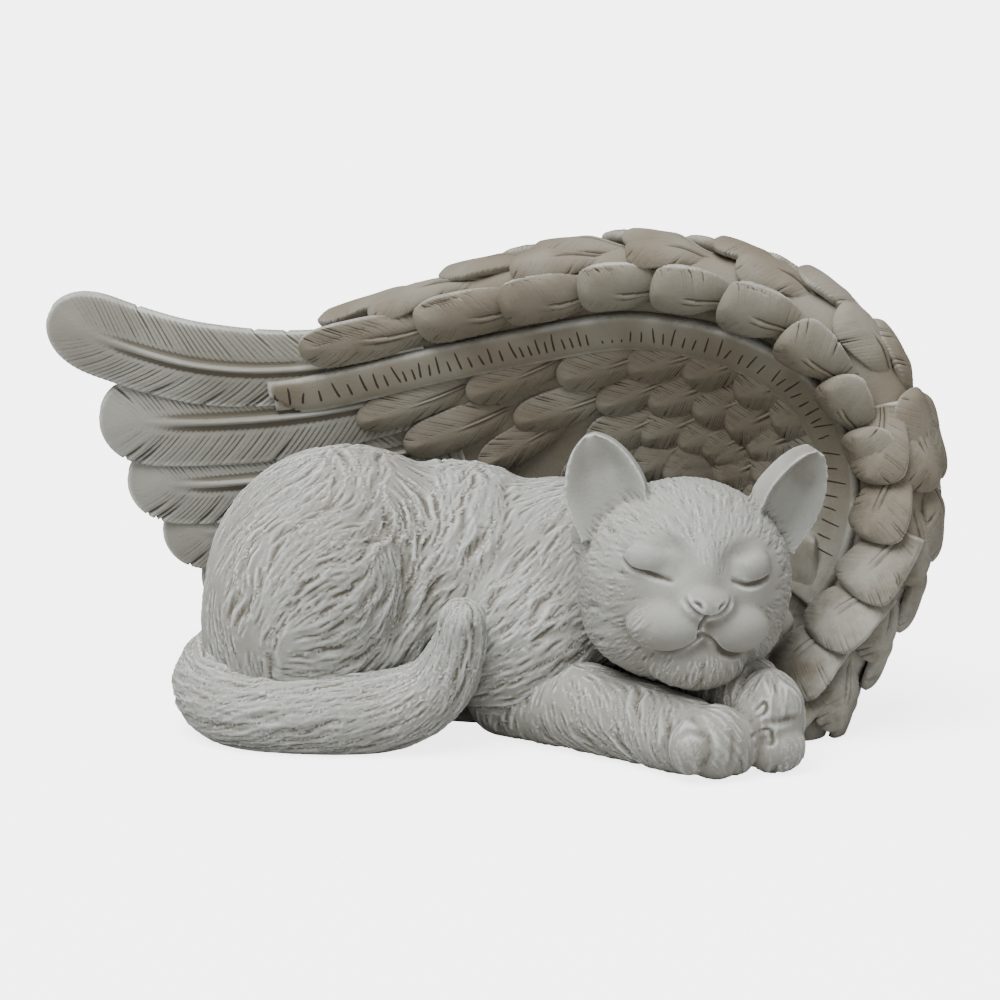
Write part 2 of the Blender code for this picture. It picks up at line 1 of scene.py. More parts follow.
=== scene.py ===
import math
from contextlib import contextmanager

import bmesh
import bpy
import numpy as np
from mathutils import Euler, Matrix, Vector
from mathutils.kdtree import KDTree


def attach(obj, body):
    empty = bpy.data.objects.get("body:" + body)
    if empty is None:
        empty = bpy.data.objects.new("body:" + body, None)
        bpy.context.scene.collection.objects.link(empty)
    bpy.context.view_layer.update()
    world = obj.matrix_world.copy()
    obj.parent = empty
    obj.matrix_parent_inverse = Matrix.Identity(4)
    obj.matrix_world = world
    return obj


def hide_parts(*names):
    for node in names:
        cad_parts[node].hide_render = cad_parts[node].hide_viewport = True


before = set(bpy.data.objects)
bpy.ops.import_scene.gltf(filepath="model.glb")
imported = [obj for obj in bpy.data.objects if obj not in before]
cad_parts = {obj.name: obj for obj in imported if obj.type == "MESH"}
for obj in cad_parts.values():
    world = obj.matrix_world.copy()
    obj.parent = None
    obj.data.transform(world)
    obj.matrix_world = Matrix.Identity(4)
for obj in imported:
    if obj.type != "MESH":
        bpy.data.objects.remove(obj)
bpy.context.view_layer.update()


# Antiqued cast stone
# The whole statue is one casting of stone-filled resin in a warm ivory. A thin brown wash was
# rubbed into the carving and wiped off, and the high spots were brushed with white when dry.
# The dark brown in the furrows and hollows is that wash and painted shade together.

def group_of(name, kind, inputs, outputs):
    """A node group with its sockets, what it is given and what it has to fill."""
    tree = bpy.data.node_groups.new(name, kind)
    for label, socket_kind, *value in inputs:
        socket = tree.interface.new_socket(name=label, in_out="INPUT", socket_type="NodeSocket" + socket_kind)
        if value:
            socket.default_value = value[0]
    for label, socket_kind in outputs:
        tree.interface.new_socket(name=label, in_out="OUTPUT", socket_type="NodeSocket" + socket_kind)
    return tree, tree.nodes.new("NodeGroupInput").outputs, tree.nodes.new("NodeGroupOutput").inputs


def node(tree, kind, settings=None, **inputs):
    """A node with its settings; an input takes a socket to link or a value, spaces written as _."""
    made = tree.nodes.new(kind)
    for name, value in (settings or {}).items():
        setattr(made, name, value)
    for name, value in inputs.items():
        key = int(name[1:]) if name[0] == "i" and name[1:].isdigit() else name.replace("_", " ")
        if isinstance(value, bpy.types.NodeSocket):
            tree.links.new(value, made.inputs[key])
        else:
            made.inputs[key].default_value = value
    return made


def blended(tree, factor, under, over):
    """Two colours mixed by a factor."""
    return node(tree, "ShaderNodeMix", {"data_type": "RGBA"}, i0=factor, i6=under, i7=over).outputs[2]


def eased(tree, value, low, high, **ends):
    """0 below low and 1 above high, or the ends given, and eased between."""
    return node(tree, "ShaderNodeMapRange", {"interpolation_type": "SMOOTHSTEP"},
                Value=value, From_Min=low, From_Max=high, **ends).outputs[0]


def maths(tree, operation, a, b):
    return node(tree, "ShaderNodeMath", {"operation": operation}, i0=a, i1=b).outputs[0]


paint, put, painted = group_of(
    "antiqued_paint", "ShaderNodeTree",
    (("Position", "Vector"), ("Furrow", "Float"), ("Hollow", "Float"), ("Stone", "Color"), ("Shade", "Color"),
     ("Wash", "Color"), ("Brushing", "Color"), ("Brush Amount", "Float", 1.0), ("Dusting", "Float"),
     ("Ridge Reach", "Float", 0.10)),
    (("Colour", "Color"), ("Roughness", "Float"), ("Height", "Float")),
)


def noise(scale, detail, roughness):
    return node(paint, "ShaderNodeTexNoise", Vector=put["Position"], Scale=scale, Detail=detail,
                Roughness=roughness).outputs[0]


def plus(a, b):
    return maths(paint, "ADD", a, b)


def times(a, b):
    return maths(paint, "MULTIPLY", a, b)


broad, patches = noise(24.0, 3.0, 0.6), noise(70.0, 5.0, 0.7)
specks, grain = noise(900.0, 3.0, 0.65), noise(2600.0, 2.0, 0.6)
ground = blended(paint, eased(paint, broad, 0.40, 0.62), put["Stone"], put["Shade"])
# Painted shade with the brown wash: the dark colour goes into the furrows and, more broadly, into the
# hollows. It stands for the wash and for the shade that falls in them.
low_spot = plus(put["Furrow"], times(plus(specks, -0.5), 0.10))
hollow_shade_and_wash = plus(put["Hollow"], times(plus(patches, -0.5), 0.9))
wash_and_shade = maths(paint, "MAXIMUM", times(eased(paint, low_spot, -0.01, 0.15), 0.8),
               times(eased(paint, hollow_shade_and_wash, -0.1, 0.7), 0.7))
with_wash_and_shade = blended(paint, wash_and_shade, ground, put["Wash"])
on_ridge = eased(paint, times(low_spot, -1.0), times(put["Ridge Reach"], 0.2), put["Ridge Reach"])
rubbed = eased(paint, plus(patches, times(specks, 0.25)), 0.52, 0.74)
whitened = times(times(on_ridge, plus(times(rubbed, 0.6), 0.4)), put["Brush Amount"])
# Whiter in patches towards the ground.
height = node(paint, "ShaderNodeSeparateXYZ", Vector=put["Position"]).outputs[2]
low_down = eased(paint, times(height, -1.0), -0.085, -0.02)
whiter_near_ground = times(times(low_down, put["Dusting"]), eased(paint, patches, 0.3, 0.6))
coloured = blended(paint, maths(paint, "MAXIMUM", whitened, whiter_near_ground), with_wash_and_shade, put["Brushing"])
roughness = node(paint, "ShaderNodeMapRange", Value=patches, To_Min=0.58, To_Max=0.80).outputs[0]
for socket, value in zip(painted, (coloured, roughness, plus(grain, times(specks, 1.4)))):
    paint.links.new(value, socket)

GRAIN_HEIGHT = 0.00010


def stone_finish(name, **shades):
    """The painted stone, with its own shades where a part differs."""
    finish = bpy.data.materials.new(name)
    finish.use_nodes = True
    tree = finish.node_tree
    shader = tree.nodes["Principled BSDF"].inputs
    shader["Specular IOR Level"].default_value = 0.35
    marks = {label: node(tree, "ShaderNodeAttribute", {"attribute_name": label.lower()}).outputs["Fac"]
             for label in ("Furrow", "Hollow")}
    coat = node(tree, "ShaderNodeGroup", {"node_tree": paint},
                Position=node(tree, "ShaderNodeTexCoord").outputs["Object"], **marks, **shades).outputs
    bump = node(tree, "ShaderNodeBump", Height=coat["Height"], Distance=GRAIN_HEIGHT, Strength=0.8)
    for label, value in (("Base Color", coat["Colour"]), ("Roughness", coat["Roughness"]),
                         ("Normal", bump.outputs[0])):
        tree.links.new(value, shader[label])
    return finish


# Each finish's dark colour serves for the brown wash and for painted shade in the furrows and hollows.
stone = stone_finish("wing_stone", Stone=(0.175, 0.150, 0.110, 1), Shade=(0.24, 0.222, 0.178, 1),
                     Wash=(0.060, 0.045, 0.026, 1), Brushing=(0.50, 0.50, 0.46, 1),
                     Brush_Amount=0.8, Dusting=0.4, Ridge_Reach=0.9)
flight_stone = stone_finish("flight_stone", Stone=(0.24, 0.232, 0.195, 1), Shade=(0.31, 0.308, 0.275, 1),
                            Wash=(0.078, 0.065, 0.042, 1), Brushing=(0.52, 0.53, 0.50, 1), Ridge_Reach=0.5)
coat_stone = stone_finish("coat_stone", Stone=(0.345, 0.347, 0.32, 1), Shade=(0.28, 0.275, 0.245, 1),
                          Wash=(0.085, 0.070, 0.045, 1), Brushing=(0.70, 0.72, 0.72, 1),
                          Brush_Amount=0.6)


# The wing's shell
# The wing is a shallow bowl with a rolled leading edge that curls round the cat and stands on the
# ground at the right. Its shell is cast with everything else and carries all the feathers.
# The drawing is in millimetres, with z up from the ground, and is brought to its place at the end.

WALL = 8.0
ROLL_RADIUS = 8.8
LEADING_EDGE = (
    # x, y, z and share of ROLL_RADIUS
    (-74, 34, 90, 0.22), (-50, 31, 94, 0.36), (-16, 27, 104.8, 0.64), (15, 20, 114.2, 0.68),
    (38, 14, 117.5, 0.68), (62, 8, 113.5, 0.82), (83, 4, 102, 0.98), (97, 2, 84, 1.0),
    (101.5, 0, 63.5, 1.0), (98.5, -2, 43, 0.96), (89.5, -4, 25, 0.9), (80, -7, 8, 0.85), (74, -9, -6, 0.80),
)
BOWL_BOTTOM = (30, 38, 34)
BOWL_POWER = 2.2
DRAWN_MIDDLE = (-2.32, -4.99)
DRAWN_TO_METRES = 0.001 * 232 / 234.4


def smooth_path(points, count):
    """Points on a Catmull-Rom curve through the given rows, at even steps of its length."""
    rows = np.array(points, float)
    rows = np.vstack([2 * rows[0] - rows[1], rows, 2 * rows[-1] - rows[-2]])
    steps = np.linspace(0, 1, 24, endpoint=False)[:, None]
    parts = []
    for a, b, c, d in zip(rows, rows[1:], rows[2:], rows[3:]):
        parts.append(0.5 * (2 * b + (c - a) * steps + (2 * a - 5 * b + 4 * c - d) * steps**2
                            + (3 * b - a - 3 * c + d) * steps**3))
    fine = np.vstack(parts + [rows[-2:-1]])
    along = np.concatenate([[0], np.cumsum(np.linalg.norm(np.diff(fine[:, :3], axis=0), axis=1))])
    return np.column_stack([np.interp(np.linspace(0, along[-1], count), along, column) for column in fine.T])


def smooth_step(x):
    x = np.clip(x, 0, 1)
    return x * x * (3 - 2 * x)


def unit(rows):
    return rows / np.linalg.norm(rows, axis=1, keepdims=True)


def between(table, row):
    """A table's values at a place between its rows."""
    return np.column_stack([np.interp(row, np.arange(len(table)), column) for column in table.T])


def spread(first, last, count, ease=1.0):
    """A number of shares from first to last, with wider gaps at the start where ease is below 1."""
    return [first + (last - first) * (k / (count - 1)) ** ease for k in range(count)]


EDGE = smooth_path(LEADING_EDGE, 241)
EDGE_LENGTH = float(np.linalg.norm(np.diff(EDGE[:, :3], axis=0), axis=1).sum())
EDGE_SLOPE = np.gradient(EDGE[:, :3], axis=0)


def edge_at(share):
    """Centre, radius, outward and forward directions of the leading edge at shares of its length."""
    row = np.clip(share, 0, 1) * (len(EDGE) - 1)
    *spot, radius = between(EDGE, row).T
    tangent = unit(between(EDGE_SLOPE, row))
    centre = np.column_stack(spot) + tangent * (share - np.clip(share, 0, 1))[:, None] * EDGE_LENGTH
    radius = radius * ROLL_RADIUS
    outward = unit(np.column_stack([-tangent[:, 2], np.zeros(len(row)), tangent[:, 0]]))
    return centre, radius, outward, np.cross(outward, tangent)


def bowl_depth(x, z):
    """y of the middle of the wing's wall, seen from the front at x, z."""
    bx, by, bz = BOWL_BOTTOM
    edge_angle = np.unwrap(np.arctan2(EDGE[:, 2] - bz, EDGE[:, 0] - bx))[::-1]
    edge_reach = np.hypot(EDGE[:, 0] - bx, EDGE[:, 2] - bz)[::-1]
    angle = np.arctan2(z - bz, x - bx)
    angle = np.where(angle < edge_angle[0] - 0.6, angle + 2 * math.pi, angle)
    reach = np.interp(angle, edge_angle, edge_reach)
    rise = np.interp(angle, edge_angle, EDGE[::-1, 1]) - by
    return by + rise * np.clip(np.hypot(x - bx, z - bz) / reach, 0, 1.25) ** BOWL_POWER


def bowl_point(x, z, lift):
    """A point off the bowl's wall: lift is measured from its middle, forward when positive."""
    slope_x = bowl_depth(x + 0.5, z) - bowl_depth(x - 0.5, z)
    slope_z = bowl_depth(x, z + 0.5) - bowl_depth(x, z - 0.5)
    normal = unit(np.column_stack([slope_x, -np.ones(len(x)), slope_z]))
    return np.column_stack([x, bowl_depth(x, z), z]) + normal * np.asarray(lift)[..., None]


def placed(name, data):
    """An object of the data, in the scene."""
    made = bpy.data.objects.new(name, data)
    bpy.context.scene.collection.objects.link(made)
    return made


def plain_mesh(holder):
    """The mesh that an object comes to with its modifiers; the object is let go."""
    mesh = bpy.data.meshes.new_from_object(holder.evaluated_get(bpy.context.evaluated_depsgraph_get()))
    bpy.data.objects.remove(holder)
    return mesh


@contextmanager
def reworked(mesh):
    """The mesh opened for rework and put back afterwards."""
    made = bmesh.new()
    made.from_mesh(mesh)
    yield made
    made.to_mesh(mesh)
    made.free()


def cut_off(made, point, way):
    """Leaves out what lies behind a plane that faces a way, and closes the skin there."""
    bmesh.ops.bisect_plane(made, geom=made.verts[:] + made.edges[:] + made.faces[:],
                           plane_co=point, plane_no=way, clear_inner=True)
    bmesh.ops.holes_fill(made, edges=[e for e in made.edges if e.is_boundary], sides=0)
    bmesh.ops.triangulate(made, faces=[f for f in made.faces if len(f.verts) > 4])


class Clay:
    """Overlapping closed shapes that are run together into one skin."""

    def __init__(self):
        self.mesh = bmesh.new()
        self.round = bpy.data.meshes.new("round")
        with reworked(self.round) as made:
            bmesh.ops.create_uvsphere(made, u_segments=48, v_segments=32, radius=1)

    def ball(self, centre, radii, turn=(0, 0, 0)):
        """An ellipsoid; turn is in degrees about x, y and z."""
        mesh = self.round.copy()
        mesh.transform(Matrix.LocRotScale(
            Vector(centre), Euler([math.radians(a) for a in turn]), Vector(radii)))
        self.mesh.from_mesh(mesh)

    def limb(self, stations, steps=40):
        """A tapered round limb through rows of x, y, z and radius, with round ends."""
        rows = smooth_path(stations, steps)
        curve = bpy.data.curves.new("limb", "CURVE")
        curve.dimensions = "3D"
        curve.bevel_depth = 1.0
        curve.bevel_resolution = 10
        curve.use_fill_caps = True
        spline = curve.splines.new("POLY")
        spline.points.add(len(rows) - 1)
        for point, row in zip(spline.points, rows):
            point.co = (*row[:3], 1)
            point.radius = row[3]
        tube = plain_mesh(placed("limb", curve))
        with reworked(tube) as made:
            bmesh.ops.remove_doubles(made, verts=made.verts, dist=1e-4)
        self.mesh.from_mesh(tube)
        for row in (rows[0], rows[-1]):
            self.ball(row[:3], (row[3],) * 3)

    def slab(self, place, thickness, segments):
        """A closed slab: place(a, b, half) gives its points for a and b from -1 to 1 and both its sides."""
        mesh = bpy.data.meshes.new("slab")
        with reworked(mesh) as made:
            bmesh.ops.create_grid(made, x_segments=segments[0], y_segments=segments[1], size=1)
            flat = np.array([v.co for v in made.verts])
            lower = list(made.verts)
            copied = bmesh.ops.duplicate(made, geom=made.faces[:])
            upper = [copied["vert_map"][v] for v in lower]
            doubled = [part for part in copied["geom"] if isinstance(part, bmesh.types.BMFace)]
            bmesh.ops.reverse_faces(made, faces=doubled)
            bmesh.ops.bridge_loops(made, edges=[e for e in made.edges if e.is_boundary])
            for verts, half in ((lower, -thickness / 2), (upper, thickness / 2)):
                for vert, point in zip(verts, place(flat[:, 0], flat[:, 1], half)):
                    vert.co = point
            bmesh.ops.recalc_face_normals(made, faces=made.faces)
        self.mesh.from_mesh(mesh)

    def fused(self, voxel, rounds):
        """The shapes as one closed skin, smoothed a number of rounds."""
        mesh = bpy.data.meshes.new("clay")
        self.mesh.to_mesh(mesh)
        self.mesh.free()
        holder = placed("clay", mesh)
        fuse = holder.modifiers.new("Fuse", "REMESH")
        fuse.mode = "VOXEL"
        fuse.voxel_size = voxel
        soften = holder.modifiers.new("Soften", "SMOOTH")
        soften.factor = 0.5
        soften.iterations = rounds
        return plain_mesh(holder)


def spots_of(mesh, field="co"):
    values = np.empty(len(mesh.vertices) * 3)
    mesh.vertices.foreach_get(field, values)
    return values.reshape(-1, 3)


def marked(mesh, name, values, kind="FLOAT"):
    """Gives each point of a mesh its own value or vector."""
    mark = mesh.attributes.new(name, kind, "POINT")
    mark.data.foreach_set("vector" if kind == "FLOAT_VECTOR" else "value",
                          values.ravel().astype(int if kind == "INT" else np.float32))


def note_hollows(mesh):
    """Marks for the paint how far each point lies sunk in a furrow and in a hollow, in drawn millimetres: the
    paint puts the brown wash and painted shade there.
    """
    count = len(mesh.vertices)
    ends = np.empty(len(mesh.edges) * 2, int)
    mesh.edges.foreach_get("vertices", ends)
    a, b = ends.reshape(-1, 2).T
    links = np.maximum(np.bincount(ends, minlength=count), 1)[:, None]
    spots, normals = spots_of(mesh), spots_of(mesh, field="normal")
    eased_spots = spots.copy()
    for step in range(1, 31):
        total = np.column_stack([np.bincount(a, eased_spots[b, k], count)
                                 + np.bincount(b, eased_spots[a, k], count) for k in range(3)])
        eased_spots = 0.5 * eased_spots + 0.5 * total / links
        if step in (5, 30):
            marked(mesh, "furrow" if step == 5 else "hollow", ((eased_spots - spots) * normals).sum(axis=1))


def cast(name, mesh, finish, flat_foot=False):
    """Brings a drawn skin to its place and ties it to the casting."""
    with reworked(mesh) as made:
        if flat_foot:
            cut_off(made, (0, 0, 0), (0, 0, 1))
        bmesh.ops.recalc_face_normals(made, faces=made.faces)
    note_hollows(mesh)
    mesh.transform(Matrix.Translation((-DRAWN_MIDDLE[0], -DRAWN_MIDDLE[1], 0)))
    mesh.transform(Matrix.Scale(DRAWN_TO_METRES, 4))
    mesh.polygons.foreach_set("use_smooth", [True] * len(mesh.polygons))
    mesh.materials.clear()
    mesh.materials.append(finish)
    mesh.name = name
    piece = placed(name, mesh)
    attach(piece, "root")
    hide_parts("statue")


shell = Clay()
shell.limb([(*row[:3], row[3] * ROLL_RADIUS) for row in LEADING_EDGE], steps=90)


def bowl_slab(a, b, half):
    centre = edge_at((a + 1) / 2)[0]
    out = 0.02 + 0.98 * (b + 1) / 2
    return bowl_point(BOWL_BOTTOM[0] + (centre[:, 0] - BOWL_BOTTOM[0]) * out,
                      BOWL_BOTTOM[2] + (centre[:, 2] - BOWL_BOTTOM[2]) * out, half)


def foot_slab(a, b, half):
    """The plain foot of the wing's back, which bends forward at its ends."""
    return np.column_stack([12 + 70 * a, 39 - 25 * np.abs(a) ** 3 * (a > 0) - 8 * a**2 - half, 22 + 28 * b])


shell.slab(bowl_slab, WALL, (96, 28))
shell.slab(foot_slab, WALL + 2, (48, 16))
# The mass that joins cat and wing at the ground
shell.ball((20, 22, 6), (62, 24, 20))
shell.ball((-30, 22, 6), (48, 18, 24))
shell.ball((52, 4, 4), (36, 18, 16))
cast("wing_shell", shell.fused(1.8, 5), stone, flat_foot=True)


# The long flight feathers
# Six long feathers at the left, each lying a little behind the one above. They are carved in the
# mould with a raised shaft between two grooves and slanting barbs, and are plainer at the back.

COLUMNS = (0, 0.045, 0.09, 0.15, 0.25, 0.37, 0.5, 0.63, 0.75, 0.86, 0.94, 1.0)


def vane_width(along, tip_start):
    """Half-width of a feather as a share of its widest, from its root at 0 to its round tip at 1."""
    tip = np.sqrt(np.clip(1 - np.clip((along - tip_start) / (1 - tip_start), 0, 1) ** 2.4, 0, 1))
    return tip * (0.72 + 0.28 * smooth_step(along / 0.6))


def grid_faces(rows, columns, start=0):
    """The faces of a grid of points that are numbered row by row."""
    grid = np.arange(rows * columns).reshape(rows, columns) + start
    corners = [grid[:-1, :-1], grid[1:, :-1], grid[1:, 1:], grid[:-1, 1:]]
    return np.stack(corners, axis=2).reshape(-1, 4).tolist()


def vane(seed, barbs, shaft_end, bend, crown, relief, thickness, quill, quill_end, carved_back=False,
         tip_start=0.72):
    """A feather's closed skin: points by the way along (0 to 1), across (-1 to 1) and height, and its faces.

    Its rows follow the barbs, from the shaft out to the rim: every second row is a furrow.
    """
    rng = np.random.default_rng(seed)
    q = 1 - (1 - np.linspace(0, 1, 2 * barbs + 1)) ** 1.2
    root = shaft_end * q
    power, swell = bend
    reach = root + (1 - shaft_end) * (1 - (1 - q) ** power) + swell * 4 * q * (1 - q)
    front = [(t, t, 1) for t in COLUMNS]
    if carved_back:
        rim, back = -0.5, [(t, t, -1) for t in COLUMNS[::-1]]
    else:
        rim, back = -0.4, [(0.94, 1, -2), (0.0, 1, -2)]
    around = front + [(1.02, 1, 0)] + back
    out, inner, face = (np.array(column)[None, :] for column in zip(*around))
    sides = []
    for side in (-1, 1):
        strength = 0.4 + 0.6 * rng.random(len(q))
        furrow = np.where(np.arange(len(q)) % 2, -1.0, 0.35) * relief * strength * (1 - q**14)
        split = (rng.random(len(q)) < 0.10) * (np.arange(len(q)) % 2) * (q > 0.25) * (q < 0.96)
        width = vane_width(reach, tip_start) * (1 - 0.05 * split)
        along = root[:, None] + (reach - root)[:, None] * out ** 1.25
        across = side * width[:, None] * out
        fades = smooth_step((inner - 0.12) / 0.25)
        height = crown * (1 - np.minimum(inner, 1) ** 2.4) + furrow[:, None] * fades
        height = height - 1.6 * relief * split[:, None] * smooth_step((inner - 0.5) / 0.4)
        shaft = np.interp(inner, (0, 0.045, 0.09, 0.15, 0.25), (*quill, 0))
        height = height + shaft * (1 - smooth_step((q[:, None] - quill_end + 0.3) / 0.3))
        behind = (crown * 0.4 * (1 - inner**2.4) + 0.5 * furrow[:, None] * fades
                  + 0.6 * shaft * (1 - q[:, None]))
        height = np.select([face == 1, face == 0, face == -1], [height, rim * thickness, -thickness - behind],
                           -thickness)
        sides.append(np.stack([along, across, height], axis=2))
    rows, columns = sides[0].shape[:2]
    spots = np.vstack([s.reshape(-1, 3) for s in sides])
    faces = grid_faces(rows, columns) + grid_faces(rows, columns, rows * columns)
    faces.append(list(range(columns)) + list(range(rows * columns + columns - 1, rows * columns - 1, -1)))
    return spots, faces


def closed_mesh(name, spots, faces, near, along=None):
    """A closed mesh with its doubled points joined, and how far along the feather each point lies."""
    mesh = bpy.data.meshes.new(name)
    mesh.from_pydata(spots.tolist(), [], faces)
    if along is not None:
        marked(mesh, "along", along)
    with reworked(mesh) as made:
        bmesh.ops.remove_doubles(made, verts=made.verts, dist=near)
        bmesh.ops.dissolve_degenerate(made, dist=near, edges=made.edges)
        bmesh.ops.recalc_face_normals(made, faces=made.faces)
    return mesh


FLIGHT_FEATHERS = (
    # rows from the tip to the root of x and z, then the width and how far the root sinks in the shell
    (((-118.5, 103), (-101, 95.5), (-78, 89.5), (-52, 89), (-20, 95)), 21, 2.5),
    (((-106, 75), (-83, 74), (-50, 76.5), (-10, 84)), 24, 0),
    (((-99, 58), (-77, 57), (-46, 61), (-8, 70)), 22, 0),
    (((-90, 44), (-69, 44), (-40, 50), (-8, 60)), 21, 3),
    (((-80, 30), (-58, 32), (-32, 40), (-4, 50)), 20.5, 5.5),
    (((-68, 15), (-47, 20), (-24, 30), (0, 40)), 20, 6.5),
)
FLIGHT_DEPTH = 31.5   # how far back the first one lies
FLIGHT_STEP = 1.7
FLIGHT_THICKNESS = 5.0
FLIGHT_BARBS = 58
FLIGHT_CURL = 0.0006   # how fast they bend back from their middle

flight_spots, flight_faces, flight_count = [], [], 0
for order, (line, width, sink) in enumerate(FLIGHT_FEATHERS):
    path = smooth_path([(x, z, 0) for x, z in line], 60)[:, :2]
    slope = unit(np.gradient(path, axis=0))
    spots, faces = vane(40 + order, FLIGHT_BARBS, shaft_end=0.90, bend=(8, 0.0), crown=1.2, relief=0.42,
                        thickness=FLIGHT_THICKNESS, quill=(1.2, 0.9, 0.1, -0.45), quill_end=1.0,
                        carved_back=True, tip_start=0.84)
    row = (1 - spots[:, 0]) * (len(path) - 1)
    at, way = between(path, row), between(slope, row)
    x = at[:, 0] + way[:, 1] * spots[:, 1] * width / 2
    z = at[:, 1] - way[:, 0] * spots[:, 1] * width / 2
    y = FLIGHT_DEPTH + order * FLIGHT_STEP + FLIGHT_CURL * (x + 60) ** 2 - FLIGHT_THICKNESS / 2 - spots[:, 2]
    flight_spots.append(np.column_stack([x, y - sink * smooth_step((x + 48) / 28), z]))
    flight_faces += [[v + flight_count for v in face] for face in faces]
    flight_count += len(spots)
flight_skin = closed_mesh("flight_feathers", np.vstack(flight_spots), flight_faces, 1e-3)
cast("flight_feathers", flight_skin, flight_stone)


# Coverts inside the bowl
# Four rows of short feathers fill the bowl inside the inscribed band, their tips all pointing down
# to the left. Each lies over the root of the next, which lies in shade under their tips, and their hollows
# are painted dark as brown wash and painted shade.

BAND_SHARES = (0, 0.3, 0.45, 0.62, 0.8, 1)
BAND_OFFSETS = (8.6, 14, 14.2, 11.2, 9.8, 9.8)


def band_line(share, beyond):
    """x and z of a line along the band, by its distance beyond the band's middle."""
    centre, _, outward, _ = edge_at(share)
    offset = np.interp(share, BAND_SHARES, BAND_OFFSETS) + beyond
    return centre[:, 0] - outward[:, 0] * offset, centre[:, 2] - outward[:, 2] * offset


SHEET_SPAN = 400.0   # the distances on a sheet are stored as shares of this


def unrolled(name, place, u_range, v_range):
    """A sheet to lay things on: each point knows its own distances u and v along the sheet."""
    u, v = np.meshgrid(np.linspace(*u_range), np.linspace(*v_range), indexing="ij")
    faces = grid_faces(*u.shape)
    u, v = u.ravel(), v.ravel()
    spots, above = place(u, v, np.zeros(len(u))), place(u, v, np.ones(len(u)))
    mesh = bpy.data.meshes.new(name)
    mesh.from_pydata(spots.tolist(), [], faces)
    if float(((above - spots) * spots_of(mesh, field="normal")).sum()) < 0:
        mesh.flip_normals()
    marked(mesh, "unrolled", np.column_stack([u, v, 0 * u]) / SHEET_SPAN, "FLOAT_VECTOR")
    return placed(name, mesh)


def laying_tree():
    """Lays templates on a sheet at points that hold their place, heading, size and lift."""
    tree, given, result = group_of(
        "lay_on_sheet", "GeometryNodeTree",
        (("Geometry", "Geometry"), ("Sheet", "Object"), ("Templates", "Collection"), ("Root Depth", "Float"),
         ("Finish", "Material")), (("Laid", "Geometry"),))

    def named(name, kind="FLOAT"):
        return node(tree, "GeometryNodeInputNamedAttribute", {"data_type": kind}, Name=name).outputs[0]

    templates = node(tree, "GeometryNodeCollectionInfo", Collection=given["Templates"],
                     Separate_Children=True, Reset_Children=True).outputs[0]
    heading = node(tree, "ShaderNodeCombineXYZ", Z=named("heading")).outputs[0]
    laid = node(tree, "GeometryNodeInstanceOnPoints", Points=given["Geometry"], Instance=templates,
                Pick_Instance=True, Instance_Index=named("pick", "INT"), Rotation=heading,
                Scale=named("size", "FLOAT_VECTOR")).outputs[0]
    laid = node(tree, "GeometryNodeRealizeInstances", Geometry=laid).outputs[0]
    sheet = node(tree, "GeometryNodeObjectInfo", Object=given["Sheet"]).outputs["Geometry"]
    flat = node(tree, "GeometryNodeInputPosition").outputs[0]
    parts = node(tree, "ShaderNodeSeparateXYZ", Vector=flat).outputs
    on_sheet = node(tree, "ShaderNodeVectorMath", {"operation": "SCALE"}, Scale=1 / SHEET_SPAN,
                    i0=node(tree, "ShaderNodeCombineXYZ", X=parts[0], Y=parts[1]).outputs[0]).outputs[0]

    def read(field):
        return node(tree, "GeometryNodeSampleUVSurface", {"data_type": "FLOAT_VECTOR"}, Mesh=sheet,
                    Value=node(tree, field).outputs[0], i2=named("unrolled", "FLOAT_VECTOR"),
                    Sample_UV=on_sheet).outputs[0]

    place, upright = read("GeometryNodeInputPosition"), read("GeometryNodeInputNormal")
    along = named("along")
    raised = maths(tree, "MULTIPLY", named("tip_lift"), eased(tree, along, 0.0, 0.87))
    sunk = maths(tree, "MULTIPLY", eased(tree, along, 0.0, 0.45, To_Min=1.0, To_Max=0.0), given["Root Depth"])
    lift = maths(tree, "SUBTRACT", maths(tree, "ADD", named("lift"), raised), sunk)
    height = maths(tree, "ADD", parts[2], lift)
    offset = node(tree, "ShaderNodeVectorMath", {"operation": "SCALE"}, i0=upright, Scale=height).outputs[0]
    where = node(tree, "ShaderNodeVectorMath", {"operation": "ADD"}, i0=place, i1=offset).outputs[0]
    moved = node(tree, "GeometryNodeSetPosition", Geometry=laid, Position=where).outputs[0]
    moved = node(tree, "GeometryNodeSetMaterial", Geometry=moved, Material=given["Finish"]).outputs[0]
    tree.links.new(moved, result[0])
    return tree


LAYING = laying_tree()
ROOT_DEPTH = 2.6   # how much deeper than its tip a covert's root lies
TIP_LIFT = 2.4


def laid_on(name, sheet, templates, rows, root_depth=ROOT_DEPTH, finish=stone, flat_foot=False):
    """Lays a template for each row of u, v, heading in degrees, length, width, lift, tip lift and pick."""
    rows = np.array(rows, float)
    mesh = bpy.data.meshes.new(name)
    mesh.from_pydata([(u, v, 0) for u, v in rows[:, :2]], [], [])
    marked(mesh, "heading", np.radians(rows[:, 2]))
    marked(mesh, "size", np.column_stack([rows[:, 3:5], np.ones(len(rows))]), "FLOAT_VECTOR")
    marked(mesh, "lift", rows[:, 5])
    marked(mesh, "tip_lift", rows[:, 6])
    marked(mesh, "pick", rows[:, 7], "INT")
    holder = placed(name, mesh)
    modifier = holder.modifiers.new("Lay", "NODES")
    modifier.node_group = LAYING
    for label, value in (("Sheet", sheet), ("Templates", templates), ("Root Depth", root_depth),
                         ("Finish", finish)):
        modifier[LAYING.interface.items_tree[label].identifier] = value
    result = plain_mesh(holder)
    bpy.data.objects.remove(sheet)
    for label in ("heading", "size", "lift", "tip_lift", "pick", "along"):
        if label in result.attributes:
            result.attributes.remove(result.attributes[label])
    cast(name, result, finish, flat_foot)


